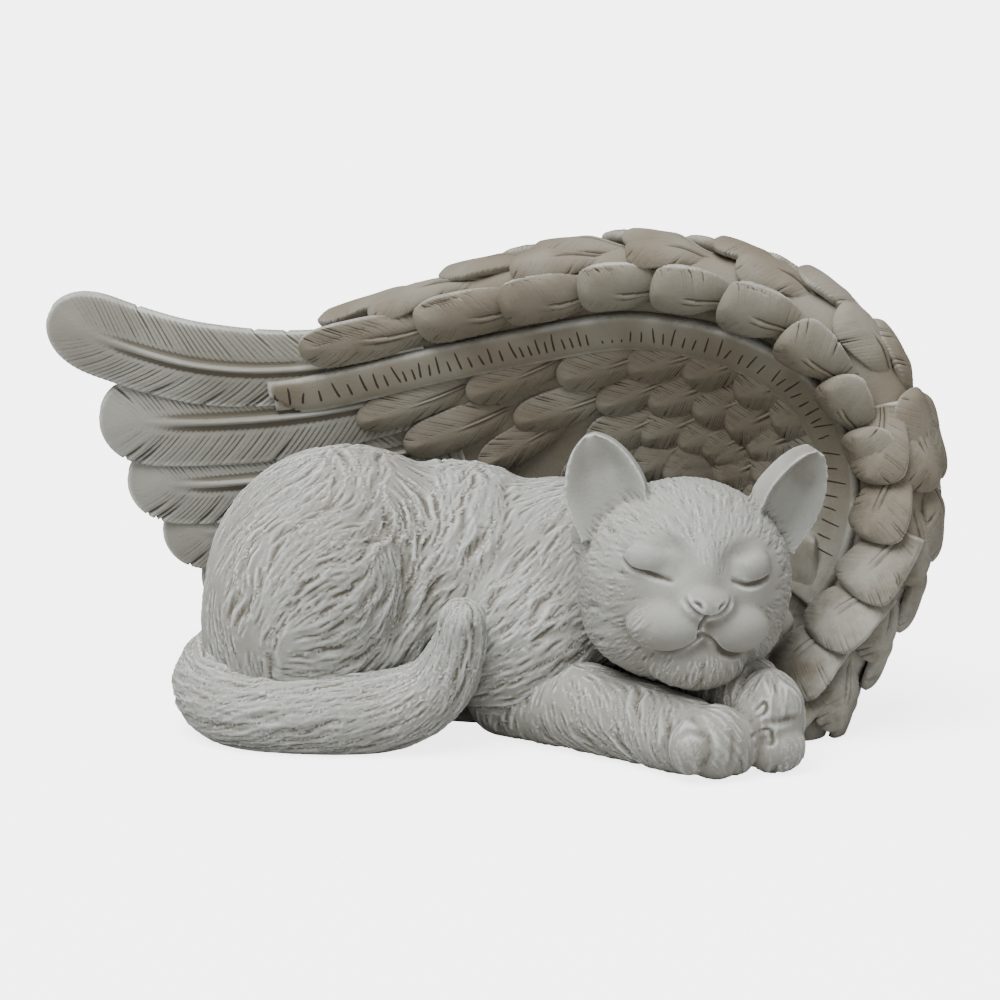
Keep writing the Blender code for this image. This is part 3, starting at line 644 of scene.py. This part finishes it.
def template_set(name, meshes):
    """A hidden collection of templates for the laying tree to pick from."""
    kept = bpy.data.collections.new(name)
    for number, mesh in enumerate(meshes):
        kept.objects.link(bpy.data.objects.new(f"{name}_{number}", mesh))
    return kept


COVERT_THICKNESS = 2.2


def covert_template(seed, barbs, crown, relief):
    """A short feather of length and width 1 with its tip at the middle of its sheet."""
    spots, faces = vane(seed, barbs, shaft_end=0.88, bend=(3, 0.13), crown=crown, relief=relief,
                        thickness=COVERT_THICKNESS, quill=(0.45, 0.2, -0.45, -0.2), quill_end=0.72)
    along = spots[:, 0].copy()
    spots[:, 0] -= 1
    spots[:, 1] /= 2
    return closed_mesh("covert", spots, faces, 1e-4, along)


INNER_HEADING = 180 + 21
INNER_FIRST = 10.5   # how far in from the band's middle the first row has its tips
INNER_STEP = 10.5
INNER_SPANS = ((0.109, 0.93), (0.14, 0.90), (0.20, 0.85), (0.27, 0.80))
INNER_COUNTS = (11, 10, 8, 6)

coverts = template_set("covert_templates", [covert_template(seed, 24, 1.6, 0.28) for seed in range(6)])
chance = np.random.default_rng(5)
inner = []
for row, (span, count) in enumerate(zip(INNER_SPANS, INNER_COUNTS)):
    for share in spread(*span, count, 0.9):
        right = float(smooth_step((share - 0.2) / 0.4))
        x, z = band_line(np.array([share]), INNER_FIRST + INNER_STEP * row + 1.5 * right)
        inner.append((x[0], z[0], INNER_HEADING + 4 * row + chance.normal(0, 3), 36 - 16 * right,
                      (10.5 + 4 * right) * (1 + chance.normal(0, 0.05)),
                      WALL / 2 + 0.2 - 0.3 * row + chance.normal(0, 0.12), TIP_LIFT, chance.integers(6)))
bowl_sheet = unrolled("bowl_sheet", bowl_point, (-130, 125, 256), (-20, 145, 166))
laid_on("inner_coverts", bowl_sheet, coverts, inner)


# Coverts over the leading edge
# One row lies beside the band and three go round the roll. They point left over the top of the wing
# and down where it comes down at the right, and are longest at the left.

TURN_SHARE = 0.70
FRONT_SHARES = (0, 0.2, 0.5, 0.62, 0.85, 1.0)
FRONT_TIPS = (-13, -14.5, -15.5, -12, -11.5, -7)   # out from the band's middle, at those shares
FRONT_SPAN = (0.08, 1.0)
FRONT_COUNT = 15
ROLL_ANGLES = (28, 80, 130)
ROLL_SPANS = ((0.27, 1.0), (0.10, 0.97), (0.15, 0.96))
ROLL_COUNTS = (14, 13, 10)
ROLL_LIFTS = (2.0, 0.8, 0.1)
ROW_EASE = 0.8


def edge_row(share, v, tilts, width, lift):
    """The row of values that lays one covert; its two tilts are for before and after the turn."""
    up = share < TURN_SHARE
    length = 40 - 19 * float(smooth_step(share / 0.45))
    heading = 180 + tilts[0] if up else tilts[1]
    return (share * EDGE_LENGTH, v, heading + chance.normal(0, 2.5), length,
            width * (1 + chance.normal(0, 0.04)), lift + chance.normal(0, 0.15), TIP_LIFT, chance.integers(6))


def over_front(u, v, lift):
    """A point over the bowl's front and the roll's swell, by the way along the edge and in from the band."""
    share = u / EDGE_LENGTH
    inward = np.interp(share, BAND_SHARES, BAND_OFFSETS) + v
    radius = edge_at(share)[1]
    bend = np.maximum(radius, 9.5)
    round_edge = np.where(inward < 0, bend * np.sin(np.clip(inward / bend, -1.5, 0)), inward)
    x, z = band_line(share, v + round_edge - inward)
    swell = np.sqrt(np.clip(radius**2 - round_edge**2, 0, None)) - WALL / 2
    return bowl_point(x, z, WALL / 2 + 0.5 * (swell + np.sqrt(swell**2 + 1.5)) + lift)


def round_roll(u, v, lift):
    """A point on the roll: v is the way round it in millimetres, from the side that faces the viewer."""
    centre, radius, outward, forward = edge_at(u / EDGE_LENGTH)
    turn = v / (radius + 2)
    reach = (radius + lift)[:, None]
    return centre + reach * (np.cos(turn)[:, None] * forward + np.sin(turn)[:, None] * outward)


front_row = []
for share in spread(*FRONT_SPAN, FRONT_COUNT, ROW_EASE):
    width = 13.5 - 2.5 * float(smooth_step((share - 0.5) / 0.2))
    front_row.append(edge_row(share, float(np.interp(share, FRONT_SHARES, FRONT_TIPS)), (6, 10), width, 0.8))
# A few more fill the place below the band's end
for share, inward in ((0.95, 3), (0.96, 11), (1.0, 4), (1.01, -2), (0.90, 11)):
    front_row.append(edge_row(share, inward, (0, 0), 11, 0.3))
front_sheet = unrolled("front_sheet", over_front, (-60, EDGE_LENGTH + 50, 420), (-32, 16, 60))
laid_on("edge_coverts_inner", front_sheet, coverts, front_row, flat_foot=True)
rolled = []
for angle, span, count, lift in zip(ROLL_ANGLES, ROLL_SPANS, ROLL_COUNTS, ROLL_LIFTS):
    for share in spread(*span, count, ROW_EASE):
        radius = float(edge_at(np.array([share]))[1][0])
        rolled.append(edge_row(share, math.radians(angle) * (radius + 2), (0, -12),
                               min(15, radius * 1.2 + 5), lift))
roll_sheet = unrolled("roll_sheet", round_roll, (-60, EDGE_LENGTH + 50, 420), (-14, 44, 110))
laid_on("edge_coverts", roll_sheet, coverts, rolled, flat_foot=True)


# Coverts on the wing's back
# Three plainer rows that follow the leading edge, because the back is seldom seen.

BACK_ROWS = ((3, 11), (17, 9), (32, 7))   # distance in from the band's middle, count


def behind(u, v, lift):
    x, z = band_line(u / EDGE_LENGTH, v)
    return bowl_point(x, z, -lift)


plain = template_set("plain_templates", [covert_template(seed, 10, 0.9, 0.25) for seed in range(20, 23)])
back = []
for row, (offset, count) in enumerate(BACK_ROWS):
    for k, share in enumerate(spread(0.1 + 0.04 * row, 0.86, count)):
        back.append((share * EDGE_LENGTH, offset, 180, 34 - 6 * row, 15.5, WALL / 2 - 0.1 - 0.4 * row,
                     TIP_LIFT, k % 3))
back_sheet = unrolled("back_sheet", behind, (-60, EDGE_LENGTH + 30, 400), (-8, 42, 50))
laid_on("back_coverts", back_sheet, plain, back)


# The inscribed band
# A smooth strip left free of feathers. Where the real one carries words it has groups of shallow
# upright strokes, cut by hand and filled with dark paint, which aren't letters.

BAND_WIDTH = 9.6
BAND_HEIGHT = 3.0
BAND_CROWN = 0.8
BAND_START = 0.045
BAND_SPAN = 0.83
STROKE_HEIGHTS = (5.4, 3.4, 3.6, 3.4, 4.8)
STROKE_WIDTH = 0.75
DOT_COUNT = 3
STROKE_GROUPS = (
    # first and last share of the band's line, and the count of strokes
    (0.050, 0.125, 7), (0.137, 0.206, 9), (0.216, 0.257, 5), (0.268, 0.345, 10),
    (0.360, 0.385, DOT_COUNT),
    (0.397, 0.485, 8), (0.50, 0.555, 5), (0.572, 0.672, 9), (0.70, 0.835, 9),
)
ink = stone_finish("stroke_paint", Stone=(0.03, 0.022, 0.018, 1), Shade=(0.045, 0.03, 0.022, 1),
                   Wash=(0.02, 0.015, 0.012, 1), Brush_Amount=0.0)

strip = Clay()


def band_slab(a, b, half):
    x, z = band_line(BAND_START + (a + 1) / 2 * BAND_SPAN, b * BAND_WIDTH / 2)
    return bowl_point(x, z, WALL / 2 + (BAND_HEIGHT + BAND_CROWN * (1 - b**4)) * (half > 0))


strip.slab(band_slab, BAND_HEIGHT, (220, 10))
strip_mesh = bpy.data.meshes.new("strip")
strip.mesh.to_mesh(strip_mesh)
cast("inscription_band", strip_mesh, stone)


def on_band(u, v, lift):
    """A point over the band by the distance along the leading edge and in from the band's middle."""
    x, z = band_line(u / EDGE_LENGTH, v)
    return bowl_point(x, z, WALL / 2 + BAND_HEIGHT + BAND_CROWN * (1 - (2 * v / BAND_WIDTH) ** 4) + lift)


def stroke_template(seed):
    """A tapered round-ended mark, a little bent."""
    steps = np.linspace(0, 1, 13)
    around = ((0, 0.10), (0.7, 0.06), (1.0, -0.05), (1.0, -0.5), (0, -0.5))
    spots, faces = [], []
    bow = (-0.12, 0.0, 0.12)[seed]
    for side in (-1, 1):
        faces += grid_faces(len(steps), len(around), len(spots))
        for s in steps:
            wide = 0.5 * math.sqrt(max(0.0, 1 - (2 * s - 1) ** 6)) * (1 - 0.35 * s)
            for out, rise in around:
                spots.append((s - 1, side * wide * out + bow * math.sin(math.pi * s), rise))
    return closed_mesh("stroke", np.array(spots), faces, 1e-4, np.full(len(spots), 0.5))


strokes = []
for first, last, count in STROKE_GROUPS:
    for k, share in enumerate(spread(first, last, count)):
        tall = 1.0 if count == DOT_COUNT else STROKE_HEIGHTS[(k * 3 + count) % 5]
        strokes.append((share * EDGE_LENGTH, 2.0 - tall, 270 + chance.normal(0, 9), tall, STROKE_WIDTH,
                        0.0, 0.0, chance.integers(3)))
mark_sheet = unrolled("mark_sheet", on_band, (0, EDGE_LENGTH, 320), (-6, 6, 24))
laid_on("inscription_strokes", mark_sheet, template_set("strokes", [stroke_template(s) for s in range(3)]),
        strokes, 0.0, ink)


# The cat's body
# Rump, thigh, trunk and chest are run softly together behind the tail and the head. The coat was
# modelled with a loop tool: broad wavy locks first, then fine tapered strokes that follow its lay.

def laid_by(guides):
    """The lay of the fur: guides are x, z and the angle of a stroke seen from the front, in degrees."""
    rows = np.array(guides, float)
    ways = np.column_stack([np.cos(2 * np.radians(rows[:, 2])), np.sin(2 * np.radians(rows[:, 2]))])

    def lay(spots):
        away = (spots[:, None, 0] - rows[None, :, 0]) ** 2 + (spots[:, None, 2] - rows[None, :, 1]) ** 2
        share = 1 / (away + 6) ** 2
        mixed = share @ ways
        angle = np.arctan2(mixed[:, 1], mixed[:, 0]) / 2
        return np.column_stack([np.cos(angle), np.zeros(len(angle)), np.sin(angle)])

    return lay


def finder(spots):
    """A tree that finds the nearest of many points."""
    tree = KDTree(len(spots))
    for index, spot in enumerate(spots):
        tree.insert(spot, index)
    tree.balance()
    return tree


def sunk_in(mesh, spots, normals, cut):
    """Moves a skin's points in along their normals."""
    mesh.vertices.foreach_set("co", (spots - normals * cut[:, None]).ravel())
    mesh.update()


def combed(mesh, lay, seed, count, length, width, depth, wave, bare=None):
    """Cuts tapered furrows in the skin, which follow the lay of the fur and fade where it is bare."""
    rng = np.random.default_rng(seed)
    spots, normals = spots_of(mesh), spots_of(mesh, field="normal")
    tree = finder(spots)
    at = spots[rng.choice(len(spots), count, replace=False)]
    at = at[at[:, 2] > 0.5]
    stride = width * 0.7
    steps = int(length * 1.3 / stride)
    lengths = length * (0.5 + 0.8 * rng.random(len(at)))
    force = 0.45 + 0.55 * rng.random(len(at))
    swing = rng.random(len(at)) * 6.28
    before = np.zeros_like(at)
    trail, strength, tangent = [], [], []
    for step in range(steps):
        near = np.array([tree.find(spot)[1] for spot in at])
        normal = normals[near]
        at = at - normal * ((at - spots[near]) * normal).sum(axis=1)[:, None]
        way = lay(at)
        side = np.cross(normal, way)
        way = way + side * (wave * np.sin(swing + step * stride * 6.28 / (length * 0.9)))[:, None]
        way = way - normal * (way * normal).sum(axis=1)[:, None]
        way = way / np.maximum(np.linalg.norm(way, axis=1, keepdims=True), 1e-6)
        way = np.where((way * before).sum(axis=1)[:, None] < 0, -way, way)
        before = way
        done = step * stride / lengths
        trail.append(at)
        tangent.append(way)
        strength.append(np.where(done < 1, np.sin(math.pi * np.clip(done, 0.02, 1)) ** 0.6 * force, 0))
        at = at + way * stride
    trail, strength, tangent = np.vstack(trail), np.concatenate(strength), np.vstack(tangent)
    kept = strength > 0.05
    trail, strength, tangent = trail[kept], strength[kept], tangent[kept]
    marks = finder(trail)
    nearest = np.array([marks.find(spot)[1] for spot in spots])
    gap = spots - trail[nearest]
    run = (gap * tangent[nearest]).sum(axis=1)
    away = np.sqrt(np.maximum((gap**2).sum(axis=1) - np.where(np.abs(run) < width, run, 0) ** 2, 0)) / width
    cut = strength[nearest] * (np.exp(-(away**2)) - 0.4 * np.exp(-((away - 1.9) / 0.7) ** 2)) * depth
    if bare is not None:
        cut = cut * (1 - bare(spots))
    sunk_in(mesh, spots, normals, cut)


def pressed(mesh, line, width, depth):
    """Presses a groove in the skin along a line; it fades at both ends."""
    spots, normals = spots_of(mesh), spots_of(mesh, field="normal")
    path = smooth_path(line, len(line) * 12)
    path = spots[[int(((spots - spot) ** 2).sum(axis=1).argmin()) for spot in path]]
    padded = np.pad(path, ((5, 5), (0, 0)), mode="edge")
    path = np.column_stack([np.convolve(padded[:, axis], np.full(11, 1 / 11), "valid") for axis in range(3)])
    cut = np.zeros(len(spots))
    for spot, force in zip(path, np.sin(math.pi * np.linspace(0.06, 0.94, len(path))) ** 0.5):
        cut = np.maximum(cut, force * np.exp(-((spots - spot) ** 2).sum(axis=1) / width**2))
    sunk_in(mesh, spots, normals, depth * cut)


FUR = {
    # seed, count, length, width, depth and wave of the broad locks, then of the fine strokes
    "body": ((1, 330, 15, 1.25, 0.85, 0.35), (2, 3600, 8, 0.5, 0.42, 0.15)),
    "tail": ((3, 130, 16, 1.2, 0.7, 0.2), (4, 2600, 8, 0.5, 0.40, 0.1)),
    "forelegs": ((5, 90, 12, 1.1, 0.6, 0.25), (6, 1900, 7, 0.5, 0.36, 0.1)),
    "head": ((7, 110, 9, 1.0, 0.45, 0.3), (8, 3400, 5.5, 0.42, 0.30, 0.15)),
}


def furred(mesh, lay, part, bare=None):
    for strokes in FUR[part]:
        combed(mesh, lay, *strokes, bare)


BODY_LAY = (
    (-40.4, 72.1, 95), (-31.4, 70.6, 75), (-22.8, 63.8, 120), (-50.6, 68.5, 60), (-57.8, 61.2, 55),
    (-67.1, 49.7, 75), (-75.0, 34.0, 110), (-71.5, 27.6, 115), (-61.1, 44.5, 100), (-56.0, 44.5, 55),
    (-64.8, 34.0, 60), (-40.7, 44.5, 22), (-53.5, 40.3, 40), (-60.2, 32.4, 62), (-61.9, 26.0, 95),
    (-40.8, 34.0, 28), (-46.0, 28.7, 8), (-51.2, 23.4, 175), (-30.6, 39.2, 60), (-27.0, 47.1, 85),
    (-35.5, 55.0, 40), (-17.8, 48.7, 62), (-19.3, 59.1, 100), (-10.2, 53.9, 78), (-2.5, 49.7, 68),
    (-15.3, 41.9, 45), (-17.9, 28.7, 60), (-5.1, 58.5, 72), (5.1, 48.1, 52), (2.5, 37.6, 46),
    (7.6, 29.8, 36), (5.1, 20.8, 25), (12.6, 53.3, 62), (10.1, 66.3, 40), (-5.1, 42.9, 70),
    (16.3, 27.1, 30), (-5.0, 67.3, 80),
)
THIGH_CREASE = ((-25, -20, 62), (-21, -22, 50), (-21, -22, 38), (-25, -24, 26))

body = Clay()
body.ball((-40, 9, 34), (37, 30, 38.5))
body.ball((-12, 12, 35), (32, 27, 33), (0, 8, 0))
body.ball((14, 9, 33), (30, 25, 31), (0, 6, 0))
body.ball((6, -4, 24), (22, 20, 24))
body.ball((30, 0, 38), (24, 20, 22))
thigh = Clay()
thigh.ball((-50, -2, 31), (27, 25, 33), (0, 10, 0))
thigh.ball((-43, -5, 38), (22, 21, 25))
both = Clay()
both.mesh.from_mesh(body.fused(1.2, 30))
both.mesh.from_mesh(thigh.fused(1.2, 14))
coat = both.fused(0.56, 10)
with reworked(coat) as cut:
    cut_off(cut, (0, 26, 0), (0, -1, 0))   # what lies inside the wing
pressed(coat, THIGH_CREASE, 2.4, 2.2)
furred(coat, laid_by(BODY_LAY), "body")
cast("cat_body", coat, coat_stone, flat_foot=True)


# The tail
# It comes round from behind the rump, lies along the ground in front of the thigh and turns up at
# its end. Its fur runs along it with a slight slant.

TAIL_RADIUS = 11.0
TAIL = (
    (-64, 14, 17, 1.15), (-73.5, -2, 13, 1.05), (-68, -15, 10, 1.0), (-50, -21, 9.4, 1.0),
    (-30, -21.5, 10, 0.97), (-17, -22, 15.5, 0.85), (-11, -24, 26, 0.68), (-9.5, -26, 35, 0.56),
)
tail = Clay()
tail.limb([(*row[:3], row[3] * TAIL_RADIUS) for row in TAIL], 80)
tail_line = smooth_path([row[:3] for row in TAIL], 120)
tail_way = unit(np.gradient(tail_line, axis=0))


def tail_lay(spots):
    nearest = ((spots[:, None] - tail_line[None]) ** 2).sum(axis=2).argmin(axis=1)
    return tail_way[nearest] + 0.28 * np.array((0, 0, 1))


brush = tail.fused(0.52, 8)
furred(brush, tail_lay, "tail")
cast("cat_tail", brush, coat_stone, flat_foot=True)


# The forelegs
# The near one reaches forward along the ground and ends in a paw turned on its side; the far one is
# tucked under the chin and shows two stacked toes with faint claws.

FORELEG_RADIUS = 10.5
# x, y, z and share of FORELEG_RADIUS
NEAR_LEG = ((2, -6, 10, 1.05), (16, -15, 10.5, 1.12), (32, -27, 9.6, 1.03), (46, -40, 9, 0.95),
            (52, -46, 9.5, 0.80))
FAR_LEG = ((54, -14, 16, 1.1), (61, -27, 15, 1.1), (66, -37, 13.5, 0.95))
FORELEG_LAY = (
    (0.0, 15.9, 80), (10.0, 18.5, 72), (17.6, 13.3, 118), (25.1, 13.3, 118), (32.7, 10.7, 115),
    (37.7, 10.7, 105), (25.2, 4.4, 165), (40.1, 18.5, 100), (55.3, 10.7, 125), (66, 20, 90), (68, 6, 90),
)
CLAWS = (((61.6, -50, 19.2), (64, -50, 20.6), (65.6, -50, 18.2), (63, -50, 16.6)),
         ((63.6, -50, 11.8), (66.2, -50, 13.2), (67.6, -50, 10.6), (65.4, -50, 8.8)))
TOE_GAPS = (((42.6, -55, 14), (45.5, -56, 16.6), (50, -56, 15), (51.5, -56, 9), (50.5, -56, 3)),
            ((57, -52, 14), (58.2, -54, 8), (57.2, -54, 3)),
            ((65, -50, 14.6), (69, -50, 14.9), (76, -46, 14)))

legs = Clay()
for line in NEAR_LEG, FAR_LEG:
    legs.limb([(x, y, z, share * FORELEG_RADIUS) for x, y, z, share in line])
legs.ball((67, -37, 12.5), (9.5, 9, 13))
for centre, radii in (
    ((47, -49.2, 8.8), (5.6, 5.8, 7.2)), ((53.5, -45.5, 9), (8.6, 8.6, 9.6)), ((58.6, -44, 8.4), (6, 7, 8.4)),
    ((68.5, -41.5, 6.6), (8, 5.8, 7)), ((68, -40.5, 17), (7.6, 5.8, 7)),
):
    legs.ball(centre, radii)
paws = legs.fused(0.56, 14)
for line in TOE_GAPS:
    pressed(paws, line, 1.2, 0.7)
for line in CLAWS:
    pressed(paws, line, 0.55, 0.6)


def worn_toes(spots):
    """Where the fur is fainter, on the toes."""
    away = np.min([np.linalg.norm(spots - toes, axis=1) for toes in ((50, -52, 8), (68, -45, 12))], axis=0)
    return 0.7 * (1 - smooth_step((away - 7) / 5))


furred(paws, laid_by(FORELEG_LAY), "forelegs", worn_toes)
cast("cat_forelegs", paws, coat_stone, flat_foot=True)


# The head
# It rests on the forelegs with its eyes closed and a smile. Nose, lids, lips and the insides of the
# ears are smooth; the rest has short strokes that spread from the nose and forehead.

HEAD_CENTRE = Vector((46.5, -20, 43.6))
HEAD_TURN = Euler((math.radians(-2), math.radians(4.5), math.radians(12)))
# Each ear's foot on the head, then its lean in degrees
EARS = (((-18.2, 0, 12.5), (-16, 6, -6)), ((18.5, 0, 13), (33, 8, 36)))
SKULL_RADII = (27.5, 25, 26.5)
EAR_HEIGHT = 25.5
EAR_WIDTH = 22.5
EAR_THICKNESS = 5.0
FACE_LINES = (
    # right, ahead and up on the head, then width and depth of the groove: the eye sockets, the closed
    # eyes, the mouth, the line under the nose, its two lower edges and the nostrils
    (((-15, 18, 15.2), (-9, 21.5, 13.8), (-7, 22, 9.5), (-8.2, 22.5, 5.5)), 2.7, 1.9),
    (((12, 19.5, 14), (6.6, 22.5, 12.2), (5.6, 23, 8.5), (6.2, 23.5, 5.2)), 2.4, 1.7),
    (((-20.4, 15, 8.8), (-16.8, 18.7, 6.8), (-13.6, 21.1, 5.5), (-9.2, 22.9, 4.7)), 0.75, 1.4),
    (((6.0, 23.7, 5.6), (8.5, 23.2, 4.4), (11.3, 22.4, 4.0), (16.6, 19.6, 5.8)), 0.75, 1.3),
    (((-0.6, 26.5, -8.6), (-3, 26, -10.9), (-9.7, 22.1, -13.3), (-13.4, 19.4, -12.7), (-17, 17.8, -9.4)),
     0.75, 1.3),
    (((-1.2, 26.5, -8.6), (1.5, 25.5, -11.2), (5.3, 23.4, -13.1), (11.4, 20.2, -13.2), (14.5, 18, -11.5)),
     0.75, 1.2),
    (((-1.8, 29.5, -4.4), (-1.2, 28, -7), (-0.9, 26.8, -9.6)), 0.7, 1.3),
    (((-8.4, 26.5, 2.2), (-6.6, 28, -0.4), (-4.4, 29, -2.8), (-1.6, 29.6, -5)), 0.85, 1.0),
    (((6.4, 27, 2.4), (4.2, 28.5, -0.6), (1.8, 29, -3), (-1.6, 29.6, -5)), 0.85, 1.0),
    (((-5.4, 29.2, 0.8), (-4.2, 29.8, 0.0), (-3.6, 29.9, -0.9)), 0.7, 1.1),
    (((3.2, 29.4, 0.6), (2.2, 29.8, -0.2), (1.6, 29.9, -1.0)), 0.7, 1.0),
)


def on_head(right, ahead, up):
    """A point given in the head's own directions."""
    return HEAD_CENTRE + HEAD_TURN.to_matrix() @ Vector((right, -ahead, up))


skull = Clay()
head_turn = tuple(math.degrees(a) for a in HEAD_TURN)
for spot, radii in (
    ((0, 0, 0), SKULL_RADII), ((0, 1, -8.5), (26, 21, 17)), ((0, 15, -16.5), (13, 10, 8)),   # skull and jaw
    ((-1, 16.6, 4), (6.8, 9.2, 13)), ((-1, 24.2, -0.5), (7.4, 5.8, 4.4)),   # bridge and nose
    ((-23, -7, 10), (5.5, 4.5, 9)), ((22, -7, 8), (5.5, 4.5, 8)),   # under the ears
    ((-14, 16.6, 9.2), (6.8, 5.4, 5.4)), ((10.8, 18.3, 8.2), (5.8, 5.2, 5.2)),   # lids
    ((-9, 20, -6.9), (10.6, 8.2, 6.8)), ((7.4, 19.8, -7), (9.6, 8, 6.8)),   # pads of the muzzle
):
    skull.ball(on_head(*spot), radii, head_turn)
face = Clay()
face.mesh.from_mesh(skull.fused(0.7, 14))
for foot, (outward, back, aside) in EARS:
    turn = np.array(Matrix.Rotation(math.radians(outward), 3, "Y")
                    @ Matrix.Rotation(math.radians(-back), 3, "X")
                    @ Matrix.Rotation(math.radians(aside), 3, "Z"))

    def ear(a, b, half, turn=turn, foot=np.array(on_head(*foot))):
        up = (a + 1) / 2
        width = EAR_WIDTH * np.clip(1 - up**2.4, 0.02, 1) ** 0.55 * (0.8 + 0.2 * smooth_step(up / 0.5))
        cup = smooth_step((0.9 - np.abs(b)) / 0.5) * smooth_step((0.95 - up) / 0.35)
        hollow = -3.0 * np.abs(b) ** 2 * (1 - 0.6 * up) + 1.9 * (half < 0) * cup
        depth = hollow + half * (1.3 - 0.3 * up)
        return np.column_stack([b * width / 2, depth, up * EAR_HEIGHT]) @ turn.T + foot

    face.slab(ear, EAR_THICKNESS, (28, 24))
face_skin = face.fused(0.42, 6)
for line, width, depth in FACE_LINES:
    pressed(face_skin, [on_head(*spot) for spot in line], width, depth)


def head_lay(spots):
    """Spreads from the bridge of the nose over the head."""
    return spots - np.array(on_head(0, 24, 4))


def bare_face(spots):
    """Where the head is smooth: nose, lids, lips and the ears."""
    bare = np.zeros(len(spots))
    for spot, reach in (((0, 27, -1.5), 6.5), ((-12, 21, 7), 7), ((12, 21, 7), 7), ((-7, 26, -7), 7),
                        ((7, 26, -7), 7)):
        away = np.linalg.norm(spots - np.array(on_head(*spot)), axis=1)
        bare = np.maximum(bare, 1 - smooth_step((away - reach) / 4))
    own = (spots - np.array(HEAD_CENTRE)) @ np.array(HEAD_TURN.to_matrix())
    off_skull = smooth_step((np.linalg.norm(own / SKULL_RADII, axis=1) - 1.03) / 0.1)
    return np.maximum(bare, off_skull * smooth_step((own[:, 2] - 6) / 6))


furred(face_skin, head_lay, "head", bare_face)
cast("cat_head", face_skin, coat_stone)


# Floor, light and view
# A plain pale floor, broad soft light from above and the camera a little above the statue.

floor_mesh = bpy.data.meshes.new("floor")
floor_mesh.from_pydata([(-30, -30, 0), (30, -30, 0), (30, 30, 0), (-30, 30, 0)], [], [(0, 1, 2, 3)])
floor = placed("floor", floor_mesh)
pale = bpy.data.materials.new("pale_floor")
pale.use_nodes = True
# It looks white but throws less light up, as a floor does that ends a little beyond the picture
tree = pale.node_tree
seen = tree.nodes.new("ShaderNodeLightPath").outputs["Is Camera Ray"]
shader = tree.nodes["Principled BSDF"].inputs
tree.links.new(blended(tree, seen, (0.40, 0.40, 0.39, 1), (0.95, 0.95, 0.95, 1)), shader["Base Color"])
tree.links.new(maths(tree, "MULTIPLY", seen, 3.5), shader["Emission Strength"])
shader["Emission Color"].default_value = (1, 1, 1, 1)
shader["Roughness"].default_value = 0.9
floor_mesh.materials.append(pale)

world = bpy.data.worlds.new("studio")
world.use_nodes = True
sky = world.node_tree.nodes["Background"].inputs
sky["Color"].default_value = (1.0, 1.0, 1.0, 1)
sky["Strength"].default_value = 0.55
bpy.context.scene.world = world

for name, kind, toward, place, settings in (
    ("overhead_light", "SUN", (-0.30, -0.36, 1.0), (0, 0, 0), {"energy": 4.9, "angle": math.radians(45)}),
    ("fill_light", "AREA", (0.8, -0.8, 0.45), (0.8, -0.8, 0.5), {"energy": 0.8, "size": 0.8}),
):
    lamp = bpy.data.lights.new(name, kind)
    for label, value in settings.items():
        setattr(lamp, label, value)
    light = placed(name, lamp)
    light.location = place
    light.rotation_euler = Vector(toward).to_track_quat("Z", "Y").to_euler()

VIEW_DISTANCE = 950 * DRAWN_TO_METRES
VIEW_WIDTH = 256.7 * DRAWN_TO_METRES      # how much of the object's plane the picture spans
VIEW_ELEVATION = math.radians(13)
VIEW_AIM = (0, 0, 60)
aim = DRAWN_TO_METRES * (Vector(VIEW_AIM) - Vector((*DRAWN_MIDDLE, 0)))
away = Vector((0, -math.cos(VIEW_ELEVATION), math.sin(VIEW_ELEVATION)))
camera = placed("camera", bpy.data.cameras.new("camera"))
camera.location = aim + away * VIEW_DISTANCE
camera.rotation_euler = away.to_track_quat("Z", "Y").to_euler()
camera.data.lens = camera.data.sensor_width * VIEW_DISTANCE / VIEW_WIDTH
bpy.context.scene.camera = camera
